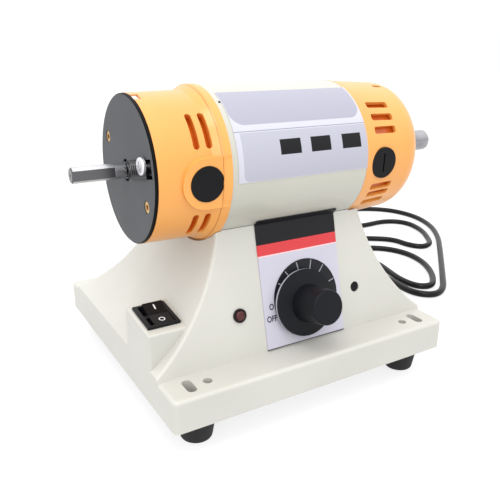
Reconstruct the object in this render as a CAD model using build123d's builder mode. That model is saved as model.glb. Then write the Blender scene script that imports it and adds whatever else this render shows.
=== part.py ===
from build123d import *
import math
import os

# Bench polishing machine: a two-ended motor in the saddle of a hollow column on a footed base.
# The origin is the middle of the base on the surface it stands on. +X runs along the motor
# shaft towards the coupling end, -Y faces the user and +Z is up. All sizes are millimetres.

# Base and feet
foot_height = 19.0
foot_top_radius = 13.3
foot_bottom_radius = 10.2
foot_edge_radius = 2.5
foot_inset_x = 22.7
foot_inset_y = 18.9
base_width = 220.0
base_depth = 213.4
base_height = 21.9
base_corner_radius = 4.0
base_edge_radius = 2.5
wall = 3.0

# Bench fixing holes, measured in from the sides of the base
bench_slot_length = 14.0
bench_slot_width = 6.4
bench_slot_inset = 16.0
bench_hole_radius = 3.0
bench_hole_inset = 28.5
bench_row_inset = 13.3
pad_length = 34.0
pad_width = 25.8
bench_headroom = 12.0

# Column: leaning front face, one concave flare on each side and one at the back
face_setback = 25.1
face_lean = 13.4
column_height = 97.0
flare_height = 82.0
flare_inset = 51.5
flare_back = 36.0
flare_radius = 141.3
flare_lean = 13.5
column_front_round = 2.0
column_back_round = 9.0
saddle_wall = 4.0
saddle_gap = 0.3

# Motor axis and the white tube
axis_setback = 78.42
axis_rise = 121.31
tube_radius = 49.9
tube_wall = 3.2
tube_left = -55.0
tube_right = 49.3

# Fits
fit_gap = 0.1
running_gap = 0.05
free_gap = 0.3
overlap = 0.5
margin = 1.0

# Left end cap and its end plate
cap_wall = 3.0
joint_gap = 0.1
left_cap_end = -100.6
left_cap_radius = 46.5
left_flange_radius = 50.5
left_flange_width = 5.0
left_flange_chamfer = 0.4
left_cap_draft = 0.5
left_ramp_width = 6.0
lip_length = 6.0
plate_disc_radius = 44.4
plate_disc_thickness = 5.6
plate_disc_proud = 2.0
plate_flange_radius = 46.3
plate_disc_chamfer = 0.6
ledge_width = 3.0
ledge_radius = 41.5
hub_hole_radius = 7.0
baffle_wall = 1.4
left_baffle_radius = 40.8
left_baffle_span = (-80.0, -58.5)
vent_width = 4.0
left_vent_stations = (-75.0, -67.0)
left_vent_spans = ((21.4, 50.0), (-54.5, -28.6))
rim_notch_angle = 76.0
rim_notch_width = 8.0
rim_notch_length = 4.5
rim_notch_floor = 0.6

# Right end cap
right_cap_radius = 50.0
right_cap_profile = ((61.0, 49.0), (77.0, 48.1), (88.0, 47.4))
right_cap_shoulder = (102.0, 41.8)
right_cap_end = (107.0, 30.0)
right_hole_radius = 9.0
right_baffle_radius = 43.6
right_baffle_span = (55.0, 80.0)
right_baffle_gap = 0.8
right_vent_station = 68.0
right_vent_length = 20.0
right_vent_width = 5.0
right_vent_round = 1.5
right_vent_angles = (46.0, 34.5, 23.5, -24.0, -32.0, -42.0)
top_notch_station = 84.6
top_notch_angle = 73.0
top_notch_size = (8.0, 3.2)

# Brush gear at the left and matching ports at the right
brush_station = -71.0
port_station = 65.0
brush_angle = -3.0
brush_pad_radius = 15.5
brush_pad_rise = 48.6
brush_cap_radius = 10.75
brush_cap_thickness = 2.0
brush_cap_recess = 1.5
brush_cap_shank = 5.3
holder_clearance = 1.2
brush_bore_radius = 7.2
brush_boss_wall = 3.0
brush_boss_depth = 28.0
brush_length = 15.9
brush_size = (8.0, 6.0)
brush_spring_wire = 0.8
port_seat_radius = 47.3
port_plug_depth = 3.6
cap_slot_width = 1.2
cap_slot_length = 13.0
cap_slot_depth = 0.8

# Rotor
shaft_radius = 5.0
shaft_left = -137.2
shaft_right = 138.0
shaft_flat_length = 26.0
shaft_flat_depth = 1.2
shaft_chamfer = 0.8
shaft_relief = 0.01
shaft_groove_width = 1.0
shaft_groove_depth = 0.3
centre_hole_radius = 1.2
centre_hole_taper = 30.0
rotor_seat_radius = 5.5
rotor_seat_left = -84.0
rotor_seat_right = 87.2
core_radius = 27.0
core_left = -28.0
core_right = 26.0
core_slots = 12
core_slot_width = 5.0
core_slot_floor = 16.0
winding_end_radius = 24.5
winding_overhang = 9.0
winding_bore_gap = 3.0
winding_round = 3.0
commutator_radius = 15.0
commutator_length = 18.0
commutator_bars = 24
commutator_groove_depth = 0.8
commutator_groove_width = 0.5
riser_radius = 17.0
riser_width = 2.0
fan_radius = 40.0
fan_left = 62.0
fan_width = 14.0
fan_plate = 1.6
fan_blades = 14
fan_hub_radius = 11.0
bearing_radius = 15.0
bearing_width = 9.0
bearing_ring_wall = 2.0
shield_depth = 0.8
bearing_left = -97.4
right_bearing_left = 88.2
bearing_housing_wall = 3.5
coupling_left = 103.0
coupling_right = 155.7
coupling_radius = 7.95
coupling_nose_radius = 4.2
coupling_nose_length = 4.5
coupling_bore_radius = 3.2
coupling_bore_depth = 14.0
coupling_screw_radius = 2.0
coupling_screw_inset = 19.0
coupling_chamfer = 0.5
coupling_screw_socket = 1.2

# Stator and through bolts
stator_left = -30.0
stator_right = 28.0
stator_gap = 0.2
back_iron = 4.5
pole_shoe_thickness = 5.4
pole_shoe_span = 110.0
pole_width = 24.0
air_gap = 0.6
winding_width = 7.4
winding_gap = 0.4
coil_half_span = 45.0
bolt_circle = 35.5
bolt_line_angle = 27.5
bolt_radius = 2.0
bolt_head_radius = 3.5
bolt_head_height = 2.6
bolt_socket_radius = 1.9
bolt_socket_depth = 1.5
bolt_recess_depth = 3.0
bolt_boss_radius = 5.0
bolt_end = 57.5
bolt_boss_length = 9.5

# Spindle lock in the end plate
lock_angle = 10.75
lock_width = 11.4
lock_reach = 42.5
lock_recess_depth = 2.6
lock_bar_thickness = 3.4
lock_side_gap = 0.2
lock_bar_inner = 9.6
lock_bar_outer = 35.6
lock_tip_radius = 7.2
lock_tip_width = 3.4
lock_stop_gap = 0.5
lock_collar_radius = 6.6
lock_collar_chamfer = 0.4
lock_collar_notches = 4
lock_screw_radius = 32.0
lock_screw_rise = 2.2
lock_screw_shank = 2.0
lock_screw_head = 5.3
lock_screw_head_height = 2.3
lock_recess_cross = 0.9
lock_spring_radius = 1.0
lock_grip_count = 3
lock_grip_pitch = 3.4
lock_grip_width = 1.2
lock_grip_depth = 0.5

# Saddle bolts
saddle_bolt_stations = (-36.0, 36.0)
saddle_bolt_spread = 22.0
saddle_bolt_radius = 2.5
saddle_bolt_head = 4.5
saddle_bolt_head_height = 4.0
saddle_boss_radius = 6.5
saddle_boss_length = 3.6

# Printed label round the front of the tube
label_wrap_low = -5.0
label_wrap_high = 67.0
label_wrap_thickness = 0.3
label_wrap_margin = 4.0

# Front label plate and the speed control
label_left = -30.0
label_right = 35.0
label_bottom = 0.6
label_thickness = 0.8
label_lip_angle = 6.0
dial_x = 0.6
dial_up = 28.6
dial_shift = (4.2, 2.9)
dial_radius = 26.3
dial_thickness = 0.6
pot_bushing_radius = 3.5
pot_bushing_proud = 3.6
pot_body_radius = 12.0
pot_body_depth = 11.0
pot_shaft_radius = 3.0
pot_shaft_length = 21.0
pot_shaft_seat = 2.0
pot_nut_radius = 5.6
pot_nut_thickness = 2.2
pot_tab_size = (1.8, 7.0, 0.6)
knob_skirt_radius = 23.0
knob_skirt_back = 2.4
knob_skirt_edge = 3.2
knob_cone_height = 2.2
knob_neck_radius = 13.2
knob_cap_radius = 11.7
knob_front = 31.5
knob_cavity_radius = 8.0
knob_cavity_depth = 3.2
knob_edge_radius = 1.2

# Pilot lamp and panel screw on the front face
lamp_x = -48.3
lamp_up = 29.2
lamp_rim_radius = 4.7
lamp_rim_height = 1.2
lamp_body_radius = 3.9
lamp_body_depth = 15.0
lens_radius = 3.3
lens_rise = 2.4
panel_screw_x = 48.8
panel_screw_up = 29.4
panel_well_radius = 3.8
panel_well_depth = 2.8
panel_boss_radius = 6.5
panel_boss_depth = 2.6
panel_screw_radius = 1.95
panel_head_radius = 3.4
panel_head_height = 2.2

# Heat sink and triac behind the front face
sink_width = 36.0
sink_height = 34.0
sink_thickness = 3.0
sink_fin_depth = 12.0
sink_fin_thickness = 1.6
sink_fin_offsets = (-4.5, 4.5, 9.0, 13.5)
triac_size = (10.0, 15.0, 4.5)
triac_offset = -11.5

# Switch box and rocker switch
switch_box_front = 35.7
switch_box_length = 40.0
switch_box_front_height = 27.4
switch_box_back_height = 31.9
switch_box_reach = 38.0
switch_box_edge = 1.4
switch_inset = 13.5
bezel_width = 22.5
bezel_length = 28.4
bezel_height = 1.8
bezel_corner = 1.0
bezel_edge = 0.6
switch_body_width = 19.6
switch_body_length = 26.2
switch_body_depth = 20.0
switch_well_width = 16.8
switch_well_length = 23.8
switch_well_depth = 13.0
switch_blade_size = (6.3, 0.8, 8.0)
switch_blade_pitch = 14.0
rocker_width = 13.4
rocker_offset = 1.2
rocker_radius = 11.5
rocker_end_height = 3.2
rocker_mid_height = 1.6
rocker_tilt = 9.0
rocker_pin_radius = 1.5
rocker_pin_depth = 1.0

# Bottom plate, its screws and the foot screws
bottom_plate_thickness = 1.5
plate_boss_radius = 4.5
plate_screw_radius = 1.5
plate_screw_length = 10.0
plate_screw_head = 2.9
plate_screw_head_height = 2.0
plate_screw_spread = 45.0
plate_screw_side_y = 12.0
plate_boss_overlap = 0.5
vent_slot_length = 34.0
vent_slot_width = 3.2
vent_slot_pitch = 9.0
vent_slots = 7
vent_row_y = -38.0
foot_screw_radius = 1.75
foot_screw_head = 3.6
foot_screw_head_height = 2.4
foot_screw_length = 24.0
foot_recess_radius = 5.2
foot_recess_depth = 9.0

# Speed control board on the bottom plate
board_x = 28.0
board_y = 30.0
board_length = 72.0
board_width = 52.0
board_thickness = 1.6
board_rise = 8.0
board_hole_inset = 5.0
standoff_radius = 3.0
standoff_pin_radius = 1.4
standoff_cap_radius = 2.3
standoff_cap_height = 1.4
capacitor_size = (18.0, 8.0, 15.0)
choke_radius = 9.0
choke_bore = 4.0
choke_height = 9.0
terminal_size = (20.0, 11.0, 12.0)

# Cord, its strain relief and the plug
cord_diameter = 6.5
cord_lift = 0.05
cord_exit_inset = 50.0
cord_exit_z = 30.0
cord_straight = 14.0
relief_hole_radius = 5.5
relief_flange_radius = 7.0
relief_flange_thickness = 2.4
relief_sleeve_length = 16.0
relief_tip_radius = 4.3
plug_entry_length = 14.0
plug_entry_radius = 4.6
plug_entry_root_radius = 5.8
plug_body_length = 34.0
plug_body_width = 35.0
plug_body_nose_width = 27.0
plug_body_back_width = 16.0
plug_body_shoulder = 12.0
plug_body_height = 14.0
plug_edge_radius = 2.5
plug_pin_length = 19.0
plug_pin_radius = 2.0
plug_pin_spread = 18.6
plug_floor_gap = 0.2

# Values worked out from the ones above
base_top = foot_height + base_height
plate_top = foot_height + bottom_plate_thickness
face_foot_y = -base_depth / 2 + face_setback
axis_y = -base_depth / 2 + axis_setback
axis_z = base_top + axis_rise
seat_radius = tube_radius + saddle_gap
flare_x = base_width / 2 - flare_inset + flare_radius * math.cos(math.radians(flare_lean))
flare_y = flare_back + flare_radius * math.cos(math.radians(flare_lean))
flare_z = base_top + flare_height + flare_radius * math.sin(math.radians(flare_lean))
lean_tan = math.tan(math.radians(face_lean))
lean_cos = math.cos(math.radians(face_lean))
switch_x = -base_width / 2 + switch_inset
foot_x = base_width / 2 - foot_inset_x
foot_y = base_depth / 2 - foot_inset_y
bench_slot_x = base_width / 2 - bench_slot_inset
bench_hole_x = base_width / 2 - bench_hole_inset
bench_row_y = base_depth / 2 - bench_row_inset
bolt_directions = (-bolt_line_angle, 180 - bolt_line_angle)
plate_screw_x = base_width / 2 - wall - plate_boss_radius + plate_boss_overlap
plate_screw_y = base_depth / 2 - wall - plate_boss_radius + plate_boss_overlap
plate_screw_points = (
    (-plate_screw_spread, -plate_screw_y),
    (plate_screw_spread, -plate_screw_y),
    (-plate_screw_spread, plate_screw_y),
    (plate_screw_spread, plate_screw_y),
    (-plate_screw_x, plate_screw_side_y),
    (plate_screw_x, plate_screw_side_y),
)
cord_exit_x = base_width / 2 - cord_exit_inset
relief_plane = Plane(origin=(cord_exit_x, base_depth / 2, cord_exit_z), x_dir=(1, 0, 0), z_dir=(0, 1, 0))
motor_axis = Axis((0, axis_y, axis_z), (1, 0, 0))


def axial_plane(x):
    """Plane across the motor axis at x, with local x to the back and local y up."""
    return Plane(origin=(x, axis_y, axis_z), x_dir=(0, 1, 0), z_dir=(1, 0, 0))


def radial_plane(x, angle, radius):
    """Plane that faces out from the motor axis; the angle runs from the front upwards."""
    out_y = -math.cos(math.radians(angle))
    out_z = math.sin(math.radians(angle))
    origin = (x, axis_y + radius * out_y, axis_z + radius * out_z)
    return Plane(origin=origin, x_dir=(1, 0, 0), z_dir=(0, out_y, out_z))


def profile_plane():
    """Plane through the motor axis, for profiles of (x, radius) that are revolved."""
    return Plane(origin=(0, axis_y, axis_z), x_dir=(1, 0, 0), z_dir=(0, -1, 0))


def face_plane(offset):
    """Plane parallel to the column's leaning face; local y runs up the slope."""
    lean = math.radians(face_lean)
    normal = Vector(0, -math.cos(lean), math.sin(lean))
    origin = Vector(0, face_foot_y, base_top) + normal * offset
    return Plane(origin=origin, x_dir=(1, 0, 0), z_dir=normal)


def switch_plane(offset):
    """Plane parallel to the switch box's sloping top, centred on the switch."""
    rise = switch_box_back_height - switch_box_front_height
    tilt = math.atan2(rise, switch_box_length)
    normal = Vector(0, -math.sin(tilt), math.cos(tilt))
    middle_y = -base_depth / 2 + switch_box_front + switch_box_length / 2
    middle_z = base_top + (switch_box_front_height + switch_box_back_height) / 2
    return Plane(origin=Vector(switch_x, middle_y, middle_z) + normal * offset, x_dir=(1, 0, 0), z_dir=normal)


def switch_side_plane(offset, turn):
    """Plane square to the rocker's pins, its local x turned up towards the back by an angle."""
    top = switch_plane(0)
    angle = math.atan2(top.y_dir.Z, top.y_dir.Y) + math.radians(turn)
    origin = top.origin + Vector(offset, 0, 0)
    return Plane(origin=origin, x_dir=(0, math.cos(angle), math.sin(angle)), z_dir=(1, 0, 0))


def turned(points):
    """Solid of revolution about the motor axis from a closed outline of (x, radius) points."""
    with BuildPart() as body:
        with BuildSketch(profile_plane()):
            with BuildLine():
                Polyline(*points, close=True)
            make_face()
        revolve(axis=motor_axis)
    return body.part


def ring_sector(inner, outer, low, high):
    """Flat sector of a ring between two angles, which run from the front upwards."""
    with BuildSketch() as sector:
        with BuildLine():
            near = CenterArc((0, 0), inner, 180 - high, high - low)
            far = CenterArc((0, 0), outer, 180 - high, high - low)
            Line(near @ 0, far @ 0)
            Line(near @ 1, far @ 1)
        make_face()
    return sector.sketch


def polar(radius, angle):
    """Point of an axial plane at a radius and an angle from the front upwards."""
    return (-radius * math.cos(math.radians(angle)), radius * math.sin(math.radians(angle)))


def place(radius, angle):
    """Location of an axial plane whose local x points out from the motor axis."""
    return Location((*polar(radius, angle), 0), (0, 0, 180 - angle))


def lock_place(radius):
    """Location along the spindle lock's line, at a distance from the motor axis."""
    return place(radius, lock_angle)


def lock_screw_place(out=0.0):
    """Place of the lock screw, which sits above the middle of the bar."""
    return lock_place(lock_screw_radius + out) * Pos(0, -lock_screw_rise)


def column_form(inset, floor):
    """Column with its leaning face and three concave flares, shrunk by inset on every side.

    The corners between the back flare and the side flares are rounded.
    """
    flare = flare_radius + inset
    top = base_top + column_height - inset
    front_shift = face_foot_y + inset / lean_cos
    back = base_depth / 2 - inset
    with BuildPart() as form:
        with BuildSketch(Plane.XZ):
            with Locations((0, (floor + top) / 2)):
                Rectangle(base_width - 2 * inset, top - floor)
            with Locations((-flare_x, flare_z), (flare_x, flare_z)):
                Circle(flare, mode=Mode.SUBTRACT)
        extrude(amount=base_depth, both=True)
        with BuildSketch(Plane.YZ):
            with BuildLine():
                Polyline(
                    (front_shift + (floor - base_top) * lean_tan, floor),
                    (back, floor),
                    (back, top),
                    (front_shift + (top - base_top) * lean_tan, top),
                    close=True,
                )
            make_face()
            with Locations((flare_y, flare_z)):
                Circle(flare, mode=Mode.SUBTRACT)
        extrude(amount=base_width, both=True, mode=Mode.INTERSECT)
        seams = form.edges().filter_by(GeomType.ELLIPSE).sort_by(Axis.Y)
        fillet(seams[2:], column_back_round - inset)
    return form.part


def switch_box_form(inset, floor):
    """Block with a sloping top that carries the switch, shrunk by inset on every side."""
    front = -base_depth / 2 + switch_box_front
    slope = (switch_box_back_height - switch_box_front_height) / switch_box_length
    drop = inset * math.sqrt(1 + slope * slope)
    low_top = base_top + switch_box_front_height + inset * slope - drop
    high_top = base_top + switch_box_back_height - inset * slope - drop
    with BuildPart() as form:
        with BuildSketch(Plane.YZ.offset(-base_width / 2 + inset)):
            with BuildLine():
                Polyline(
                    (front + inset, floor),
                    (front + switch_box_length - inset, floor),
                    (front + switch_box_length - inset, high_top),
                    (front + inset, low_top),
                    close=True,
                )
            make_face()
        extrude(amount=switch_box_reach - inset)
    return form.part


# Solids that the housing is put together from
with BuildPart() as column_outer:
    add(column_form(0, base_top - wall))
    fillet(column_outer.edges().filter_by(GeomType.ELLIPSE).sort_by(Axis.Y)[:2], column_front_round)

with BuildPart() as column_cavity:
    add(column_form(wall, foot_height))
    with BuildSketch(axial_plane(-base_width / 2)):
        Circle(seat_radius + saddle_wall)
    extrude(amount=base_width, mode=Mode.SUBTRACT)

with BuildPart() as switch_box:
    add(switch_box_form(0, base_top - wall))
    box_top = switch_box.faces().sort_by(Axis.Z)[-1]
    box_side = switch_box.faces().sort_by(Axis.X)[0]
    fillet(box_side.edges().filter_by(Axis.Z) + box_top.edges(), switch_box_edge)

# Base housing: the tray, the column, the saddle and the switch box in one casting
with BuildPart() as base_housing:
    with BuildSketch(Plane.XY.offset(foot_height)):
        RectangleRounded(base_width, base_depth, base_corner_radius)
    extrude(amount=base_height)
    fillet(base_housing.faces().sort_by(Axis.Z)[-1].edges(), base_edge_radius)
    add(column_outer.part)
    add(switch_box.part)

    # Saddle for the motor tube, with room for the cap flanges past the tube's ends
    with BuildSketch(axial_plane(-base_width / 2)):
        Circle(seat_radius)
    extrude(amount=base_width, mode=Mode.SUBTRACT)
    with BuildSketch(axial_plane(tube_left + free_gap)):
        Circle(left_flange_radius + free_gap)
    extrude(amount=-base_width, mode=Mode.SUBTRACT)
    with BuildSketch(axial_plane(tube_right - free_gap)):
        Circle(left_flange_radius + free_gap)
    extrude(amount=base_width, mode=Mode.SUBTRACT)

    # Hollow underside
    with BuildSketch(Plane.XY.offset(foot_height)):
        RectangleRounded(base_width - 2 * wall, base_depth - 2 * wall, base_corner_radius / 2)
    extrude(amount=base_height - wall, mode=Mode.SUBTRACT)
    add(column_cavity.part, mode=Mode.SUBTRACT)
    add(switch_box_form(wall, foot_height), mode=Mode.SUBTRACT)

    # Corner pads for the bench holes and feet, and bosses for the bottom plate's screws
    with BuildSketch(Plane.XY.offset(plate_top)):
        with GridLocations(base_width - wall - pad_length, base_depth - wall - pad_width, 2, 2):
            Rectangle(pad_length, pad_width)
        with Locations(*plate_screw_points):
            Circle(plate_boss_radius)
    extrude(amount=base_top - wall / 2 - plate_top)
    with BuildSketch(Plane.XY.offset(base_top + bench_headroom)):
        with GridLocations(2 * bench_slot_x, 2 * bench_row_y, 2, 2):
            SlotOverall(bench_slot_length, bench_slot_width, rotation=90)
        with GridLocations(2 * bench_hole_x, 2 * bench_row_y, 2, 2):
            Circle(bench_hole_radius)
    extrude(amount=-(base_height + bench_headroom), mode=Mode.SUBTRACT)
    with BuildSketch(Plane.XY.offset(foot_height)):
        with GridLocations(2 * foot_x, 2 * foot_y, 2, 2):
            Circle(foot_screw_radius + running_gap)
    extrude(amount=foot_screw_length + foot_recess_depth - foot_height + margin, mode=Mode.SUBTRACT)
    with BuildSketch(Plane.XY.offset(foot_height)):
        with Locations(*plate_screw_points):
            Circle(plate_screw_radius + running_gap)
    extrude(amount=plate_screw_length + margin, mode=Mode.SUBTRACT)

    # Bosses and holes of the saddle bolts
    for station in saddle_bolt_stations:
        for side in (-saddle_bolt_spread, saddle_bolt_spread):
            with BuildSketch(radial_plane(station, side - 90, seat_radius + saddle_wall / 2)):
                Circle(saddle_boss_radius)
            extrude(amount=saddle_wall / 2 + saddle_boss_length)
            with BuildSketch(radial_plane(station, side - 90, seat_radius - saddle_wall)):
                Circle(saddle_bolt_radius + free_gap)
            extrude(amount=2 * saddle_wall + saddle_boss_length + margin, mode=Mode.SUBTRACT)

    # Holes in the front face for the speed control, the lamp and the panel screw
    with BuildSketch(face_plane(-wall - panel_boss_depth)):
        with Locations((panel_screw_x, panel_screw_up)):
            Circle(panel_boss_radius)
    extrude(amount=panel_boss_depth + wall / 2)
    with BuildSketch(face_plane(margin)):
        with Locations((dial_x, dial_up)):
            Circle(pot_bushing_radius + fit_gap)
        with Locations((lamp_x, lamp_up)):
            Circle(lamp_body_radius + fit_gap)
        with Locations((panel_screw_x, panel_screw_up)):
            Circle(panel_screw_radius + fit_gap)
    extrude(amount=-(wall + panel_boss_depth + 2 * margin), mode=Mode.SUBTRACT)
    with BuildSketch(face_plane(margin)):
        with Locations((panel_screw_x, panel_screw_up)):
            Circle(panel_well_radius)
    extrude(amount=-(panel_well_depth + margin), mode=Mode.SUBTRACT)

    # Opening for the rocker switch and hole for the strain relief
    with BuildSketch(switch_plane(margin)):
        Rectangle(switch_body_width + 2 * fit_gap, switch_body_length + 2 * fit_gap)
    extrude(amount=-(wall + 2 * margin), mode=Mode.SUBTRACT)
    with BuildSketch(relief_plane.offset(margin)):
        Circle(relief_hole_radius + fit_gap)
    extrude(amount=-(wall + 2 * margin), mode=Mode.SUBTRACT)

# Bottom plate: sheet steel let into the underside, with cooling slots
with BuildPart() as bottom_plate:
    plate_margin = 2 * (wall + free_gap)
    with BuildSketch(Plane.XY.offset(foot_height)):
        RectangleRounded(base_width - plate_margin, base_depth - plate_margin, base_corner_radius / 2)
        with GridLocations(2 * bench_slot_x, 2 * bench_row_y, 2, 2):
            SlotOverall(bench_slot_length, bench_slot_width, rotation=90, mode=Mode.SUBTRACT)
        with GridLocations(2 * bench_hole_x, 2 * bench_row_y, 2, 2):
            Circle(bench_hole_radius, mode=Mode.SUBTRACT)
        with GridLocations(2 * foot_x, 2 * foot_y, 2, 2):
            Circle(foot_screw_radius + running_gap, mode=Mode.SUBTRACT)
        with Locations(*plate_screw_points):
            Circle(plate_screw_radius + running_gap, mode=Mode.SUBTRACT)
        with Locations((0, vent_row_y)):
            with GridLocations(vent_slot_pitch, 1, vent_slots, 1):
                SlotOverall(vent_slot_length, vent_slot_width, rotation=90, mode=Mode.SUBTRACT)
    extrude(amount=bottom_plate_thickness)

# Rubber feet with a deep recess for their screws
with BuildPart() as rubber_feet:
    with GridLocations(2 * foot_x, 2 * foot_y, 2, 2):
        Cone(foot_bottom_radius, foot_top_radius, foot_height, align=(Align.CENTER, Align.CENTER, Align.MIN))
    fillet(rubber_feet.edges().group_by(Axis.Z)[0], foot_edge_radius)
    with BuildSketch():
        with GridLocations(2 * foot_x, 2 * foot_y, 2, 2):
            Circle(foot_recess_radius)
    extrude(amount=foot_recess_depth, mode=Mode.SUBTRACT)
    with BuildSketch():
        with GridLocations(2 * foot_x, 2 * foot_y, 2, 2):
            Circle(foot_screw_radius + running_gap)
    extrude(amount=foot_height, mode=Mode.SUBTRACT)

with BuildPart() as foot_screws:
    with BuildSketch(Plane.XY.offset(foot_recess_depth)):
        with GridLocations(2 * foot_x, 2 * foot_y, 2, 2):
            Circle(foot_screw_head)
    extrude(amount=-foot_screw_head_height)
    with BuildSketch(Plane.XY.offset(foot_recess_depth)):
        with GridLocations(2 * foot_x, 2 * foot_y, 2, 2):
            Circle(foot_screw_radius)
    extrude(amount=foot_screw_length)

with BuildPart() as plate_screws:
    with BuildSketch(Plane.XY.offset(foot_height)):
        with Locations(*plate_screw_points):
            Circle(plate_screw_head)
    extrude(amount=-plate_screw_head_height)
    fillet(plate_screws.edges().group_by(Axis.Z)[0], plate_screw_head_height / 2)
    with BuildSketch(Plane.XY.offset(foot_height)):
        with Locations(*plate_screw_points):
            Circle(plate_screw_radius)
    extrude(amount=plate_screw_length)

# Front label plate: flat on the face, with its top edge turned up over the motor tube
with BuildPart() as label_plate:
    label_middle = (label_left + label_right) / 2
    label_reach = column_height / lean_cos
    seam_distance = (axis_y - face_foot_y) * lean_cos - axis_rise * math.sin(math.radians(face_lean))
    seam_angle = face_lean - math.degrees(math.acos(seam_distance / seat_radius))
    with BuildSketch(face_plane(0)):
        with Locations((label_middle, (label_bottom + label_reach) / 2)):
            Rectangle(label_right - label_left, label_reach - label_bottom)
    extrude(amount=label_thickness)
    with BuildSketch(axial_plane(label_left)):
        Circle(seat_radius + fit_gap)
    extrude(amount=label_right - label_left, mode=Mode.SUBTRACT)
    with BuildSketch(axial_plane(label_left)):
        add(ring_sector(seat_radius + fit_gap, seat_radius + fit_gap + label_thickness,
                        seam_angle - label_lip_angle / 2, seam_angle + label_lip_angle))
    extrude(amount=label_right - label_left)
    with BuildSketch(face_plane(-wall)):
        with Locations((label_middle, label_reach / 2)):
            Rectangle(label_right - label_left + 2 * margin, label_reach)
    extrude(amount=wall, mode=Mode.SUBTRACT)
    with BuildSketch(face_plane(0)):
        with Locations((dial_x, dial_up)):
            Circle(pot_bushing_radius + fit_gap)
    extrude(amount=label_thickness, mode=Mode.SUBTRACT)

with BuildPart() as dial_disc:
    with BuildSketch(face_plane(label_thickness)):
        with Locations((dial_x + dial_shift[0], dial_up + dial_shift[1])):
            Circle(dial_radius)
        with Locations((dial_x, dial_up)):
            Circle(pot_bushing_radius + fit_gap, mode=Mode.SUBTRACT)
    extrude(amount=dial_thickness)

# Speed control: potentiometer behind the face, nut and knob in front
dial_front = label_thickness + dial_thickness
pot_body_back = -wall - pot_body_depth
pot_shaft_back = pot_body_back + pot_shaft_seat

with BuildPart() as potentiometer:
    with BuildSketch(face_plane(-wall)):
        with Locations((dial_x, dial_up)):
            Circle(pot_body_radius)
    extrude(amount=-pot_body_depth)
    with BuildSketch(face_plane(-wall)):
        with Locations((dial_x, dial_up)):
            Circle(pot_bushing_radius)
    extrude(amount=wall + dial_front + pot_bushing_proud)
    with BuildSketch(face_plane(pot_shaft_back)):
        with Locations((dial_x, dial_up)):
            Circle(pot_shaft_radius + running_gap)
    extrude(amount=wall + pot_body_depth + dial_front + pot_bushing_proud, mode=Mode.SUBTRACT)
    with BuildSketch(face_plane(-wall - pot_body_depth / 2)):
        with Locations((dial_x, dial_up - pot_body_radius - pot_tab_size[1] / 2 + margin)):
            with GridLocations(3 * pot_tab_size[0], 1, 3, 1):
                Rectangle(pot_tab_size[0], pot_tab_size[1])
    extrude(amount=pot_tab_size[2])

with BuildPart() as pot_nut:
    with BuildSketch(face_plane(dial_front)):
        with Locations((dial_x, dial_up)):
            RegularPolygon(pot_nut_radius, 6)
            Circle(pot_bushing_radius + running_gap, mode=Mode.SUBTRACT)
    extrude(amount=pot_nut_thickness)

with BuildPart() as pot_shaft:
    with BuildSketch(face_plane(pot_shaft_back + free_gap)):
        with Locations((dial_x, dial_up)):
            Circle(pot_shaft_radius)
    extrude(amount=pot_shaft_length - pot_shaft_back - free_gap)

# Knob: thin skirt, shallow cone and a plain barrel, hollow at the back over the nut
with BuildPart() as speed_knob:
    knob_axis_plane = Plane(origin=face_plane(0).from_local_coords((dial_x, dial_up, 0)),
                            x_dir=(1, 0, 0), z_dir=face_plane(0).y_dir * -1)
    cone_top = dial_front + knob_skirt_back + knob_skirt_edge + knob_cone_height
    skirt_back = dial_front + knob_skirt_back
    with BuildSketch(knob_axis_plane):
        with BuildLine():
            Polyline(
                (0, skirt_back + knob_cavity_depth),
                (knob_cavity_radius, skirt_back + knob_cavity_depth),
                (knob_cavity_radius, skirt_back),
                (knob_skirt_radius, skirt_back),
                (knob_skirt_radius, skirt_back + knob_skirt_edge),
                (knob_neck_radius, cone_top),
                (knob_cap_radius, knob_front),
                (0, knob_front),
                close=True,
            )
        make_face()
    revolve(axis=Axis(knob_axis_plane.origin, face_plane(0).z_dir))
    knob_rim = speed_knob.edges().filter_by(GeomType.CIRCLE).sort_by(Axis.Y)[0]
    fillet(knob_rim, knob_edge_radius)
    with BuildSketch(face_plane(skirt_back)):
        with Locations((dial_x, dial_up)):
            Circle(pot_shaft_radius + running_gap)
    extrude(amount=pot_shaft_length - skirt_back + free_gap, mode=Mode.SUBTRACT)

# Pilot lamp
with BuildPart() as pilot_lamp:
    with BuildSketch(face_plane(0)):
        with Locations((lamp_x, lamp_up)):
            Circle(lamp_rim_radius)
    extrude(amount=lamp_rim_height)
    with BuildSketch(face_plane(0)):
        with Locations((lamp_x, lamp_up)):
            Circle(lamp_body_radius)
    extrude(amount=-lamp_body_depth)
    with BuildSketch(face_plane(lamp_rim_height)):
        with Locations((lamp_x, lamp_up)):
            Circle(lens_radius)
    extrude(amount=-(lamp_rim_height + wall), mode=Mode.SUBTRACT)

with BuildPart() as pilot_lens:
    with BuildSketch(face_plane(-wall)):
        with Locations((lamp_x, lamp_up)):
            Circle(lens_radius - running_gap)
    extrude(amount=wall + lens_rise)
    lens_front = pilot_lens.edges().filter_by(GeomType.CIRCLE).sort_by(Axis.Y)[0]
    fillet(lens_front, lens_rise / 2)

# Recessed screw in the face and the heat sink that it holds
sink_back = -wall - panel_boss_depth
sink_inner = sink_back - sink_thickness

with BuildPart() as panel_screw:
    with BuildSketch(face_plane(-panel_well_depth)):
        with Locations((panel_screw_x, panel_screw_up)):
            Circle(panel_head_radius)
    extrude(amount=panel_head_height)
    with BuildSketch(face_plane(-panel_well_depth)):
        with Locations((panel_screw_x, panel_screw_up)):
            Circle(panel_screw_radius)
    extrude(amount=sink_inner + panel_well_depth - margin)

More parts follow.
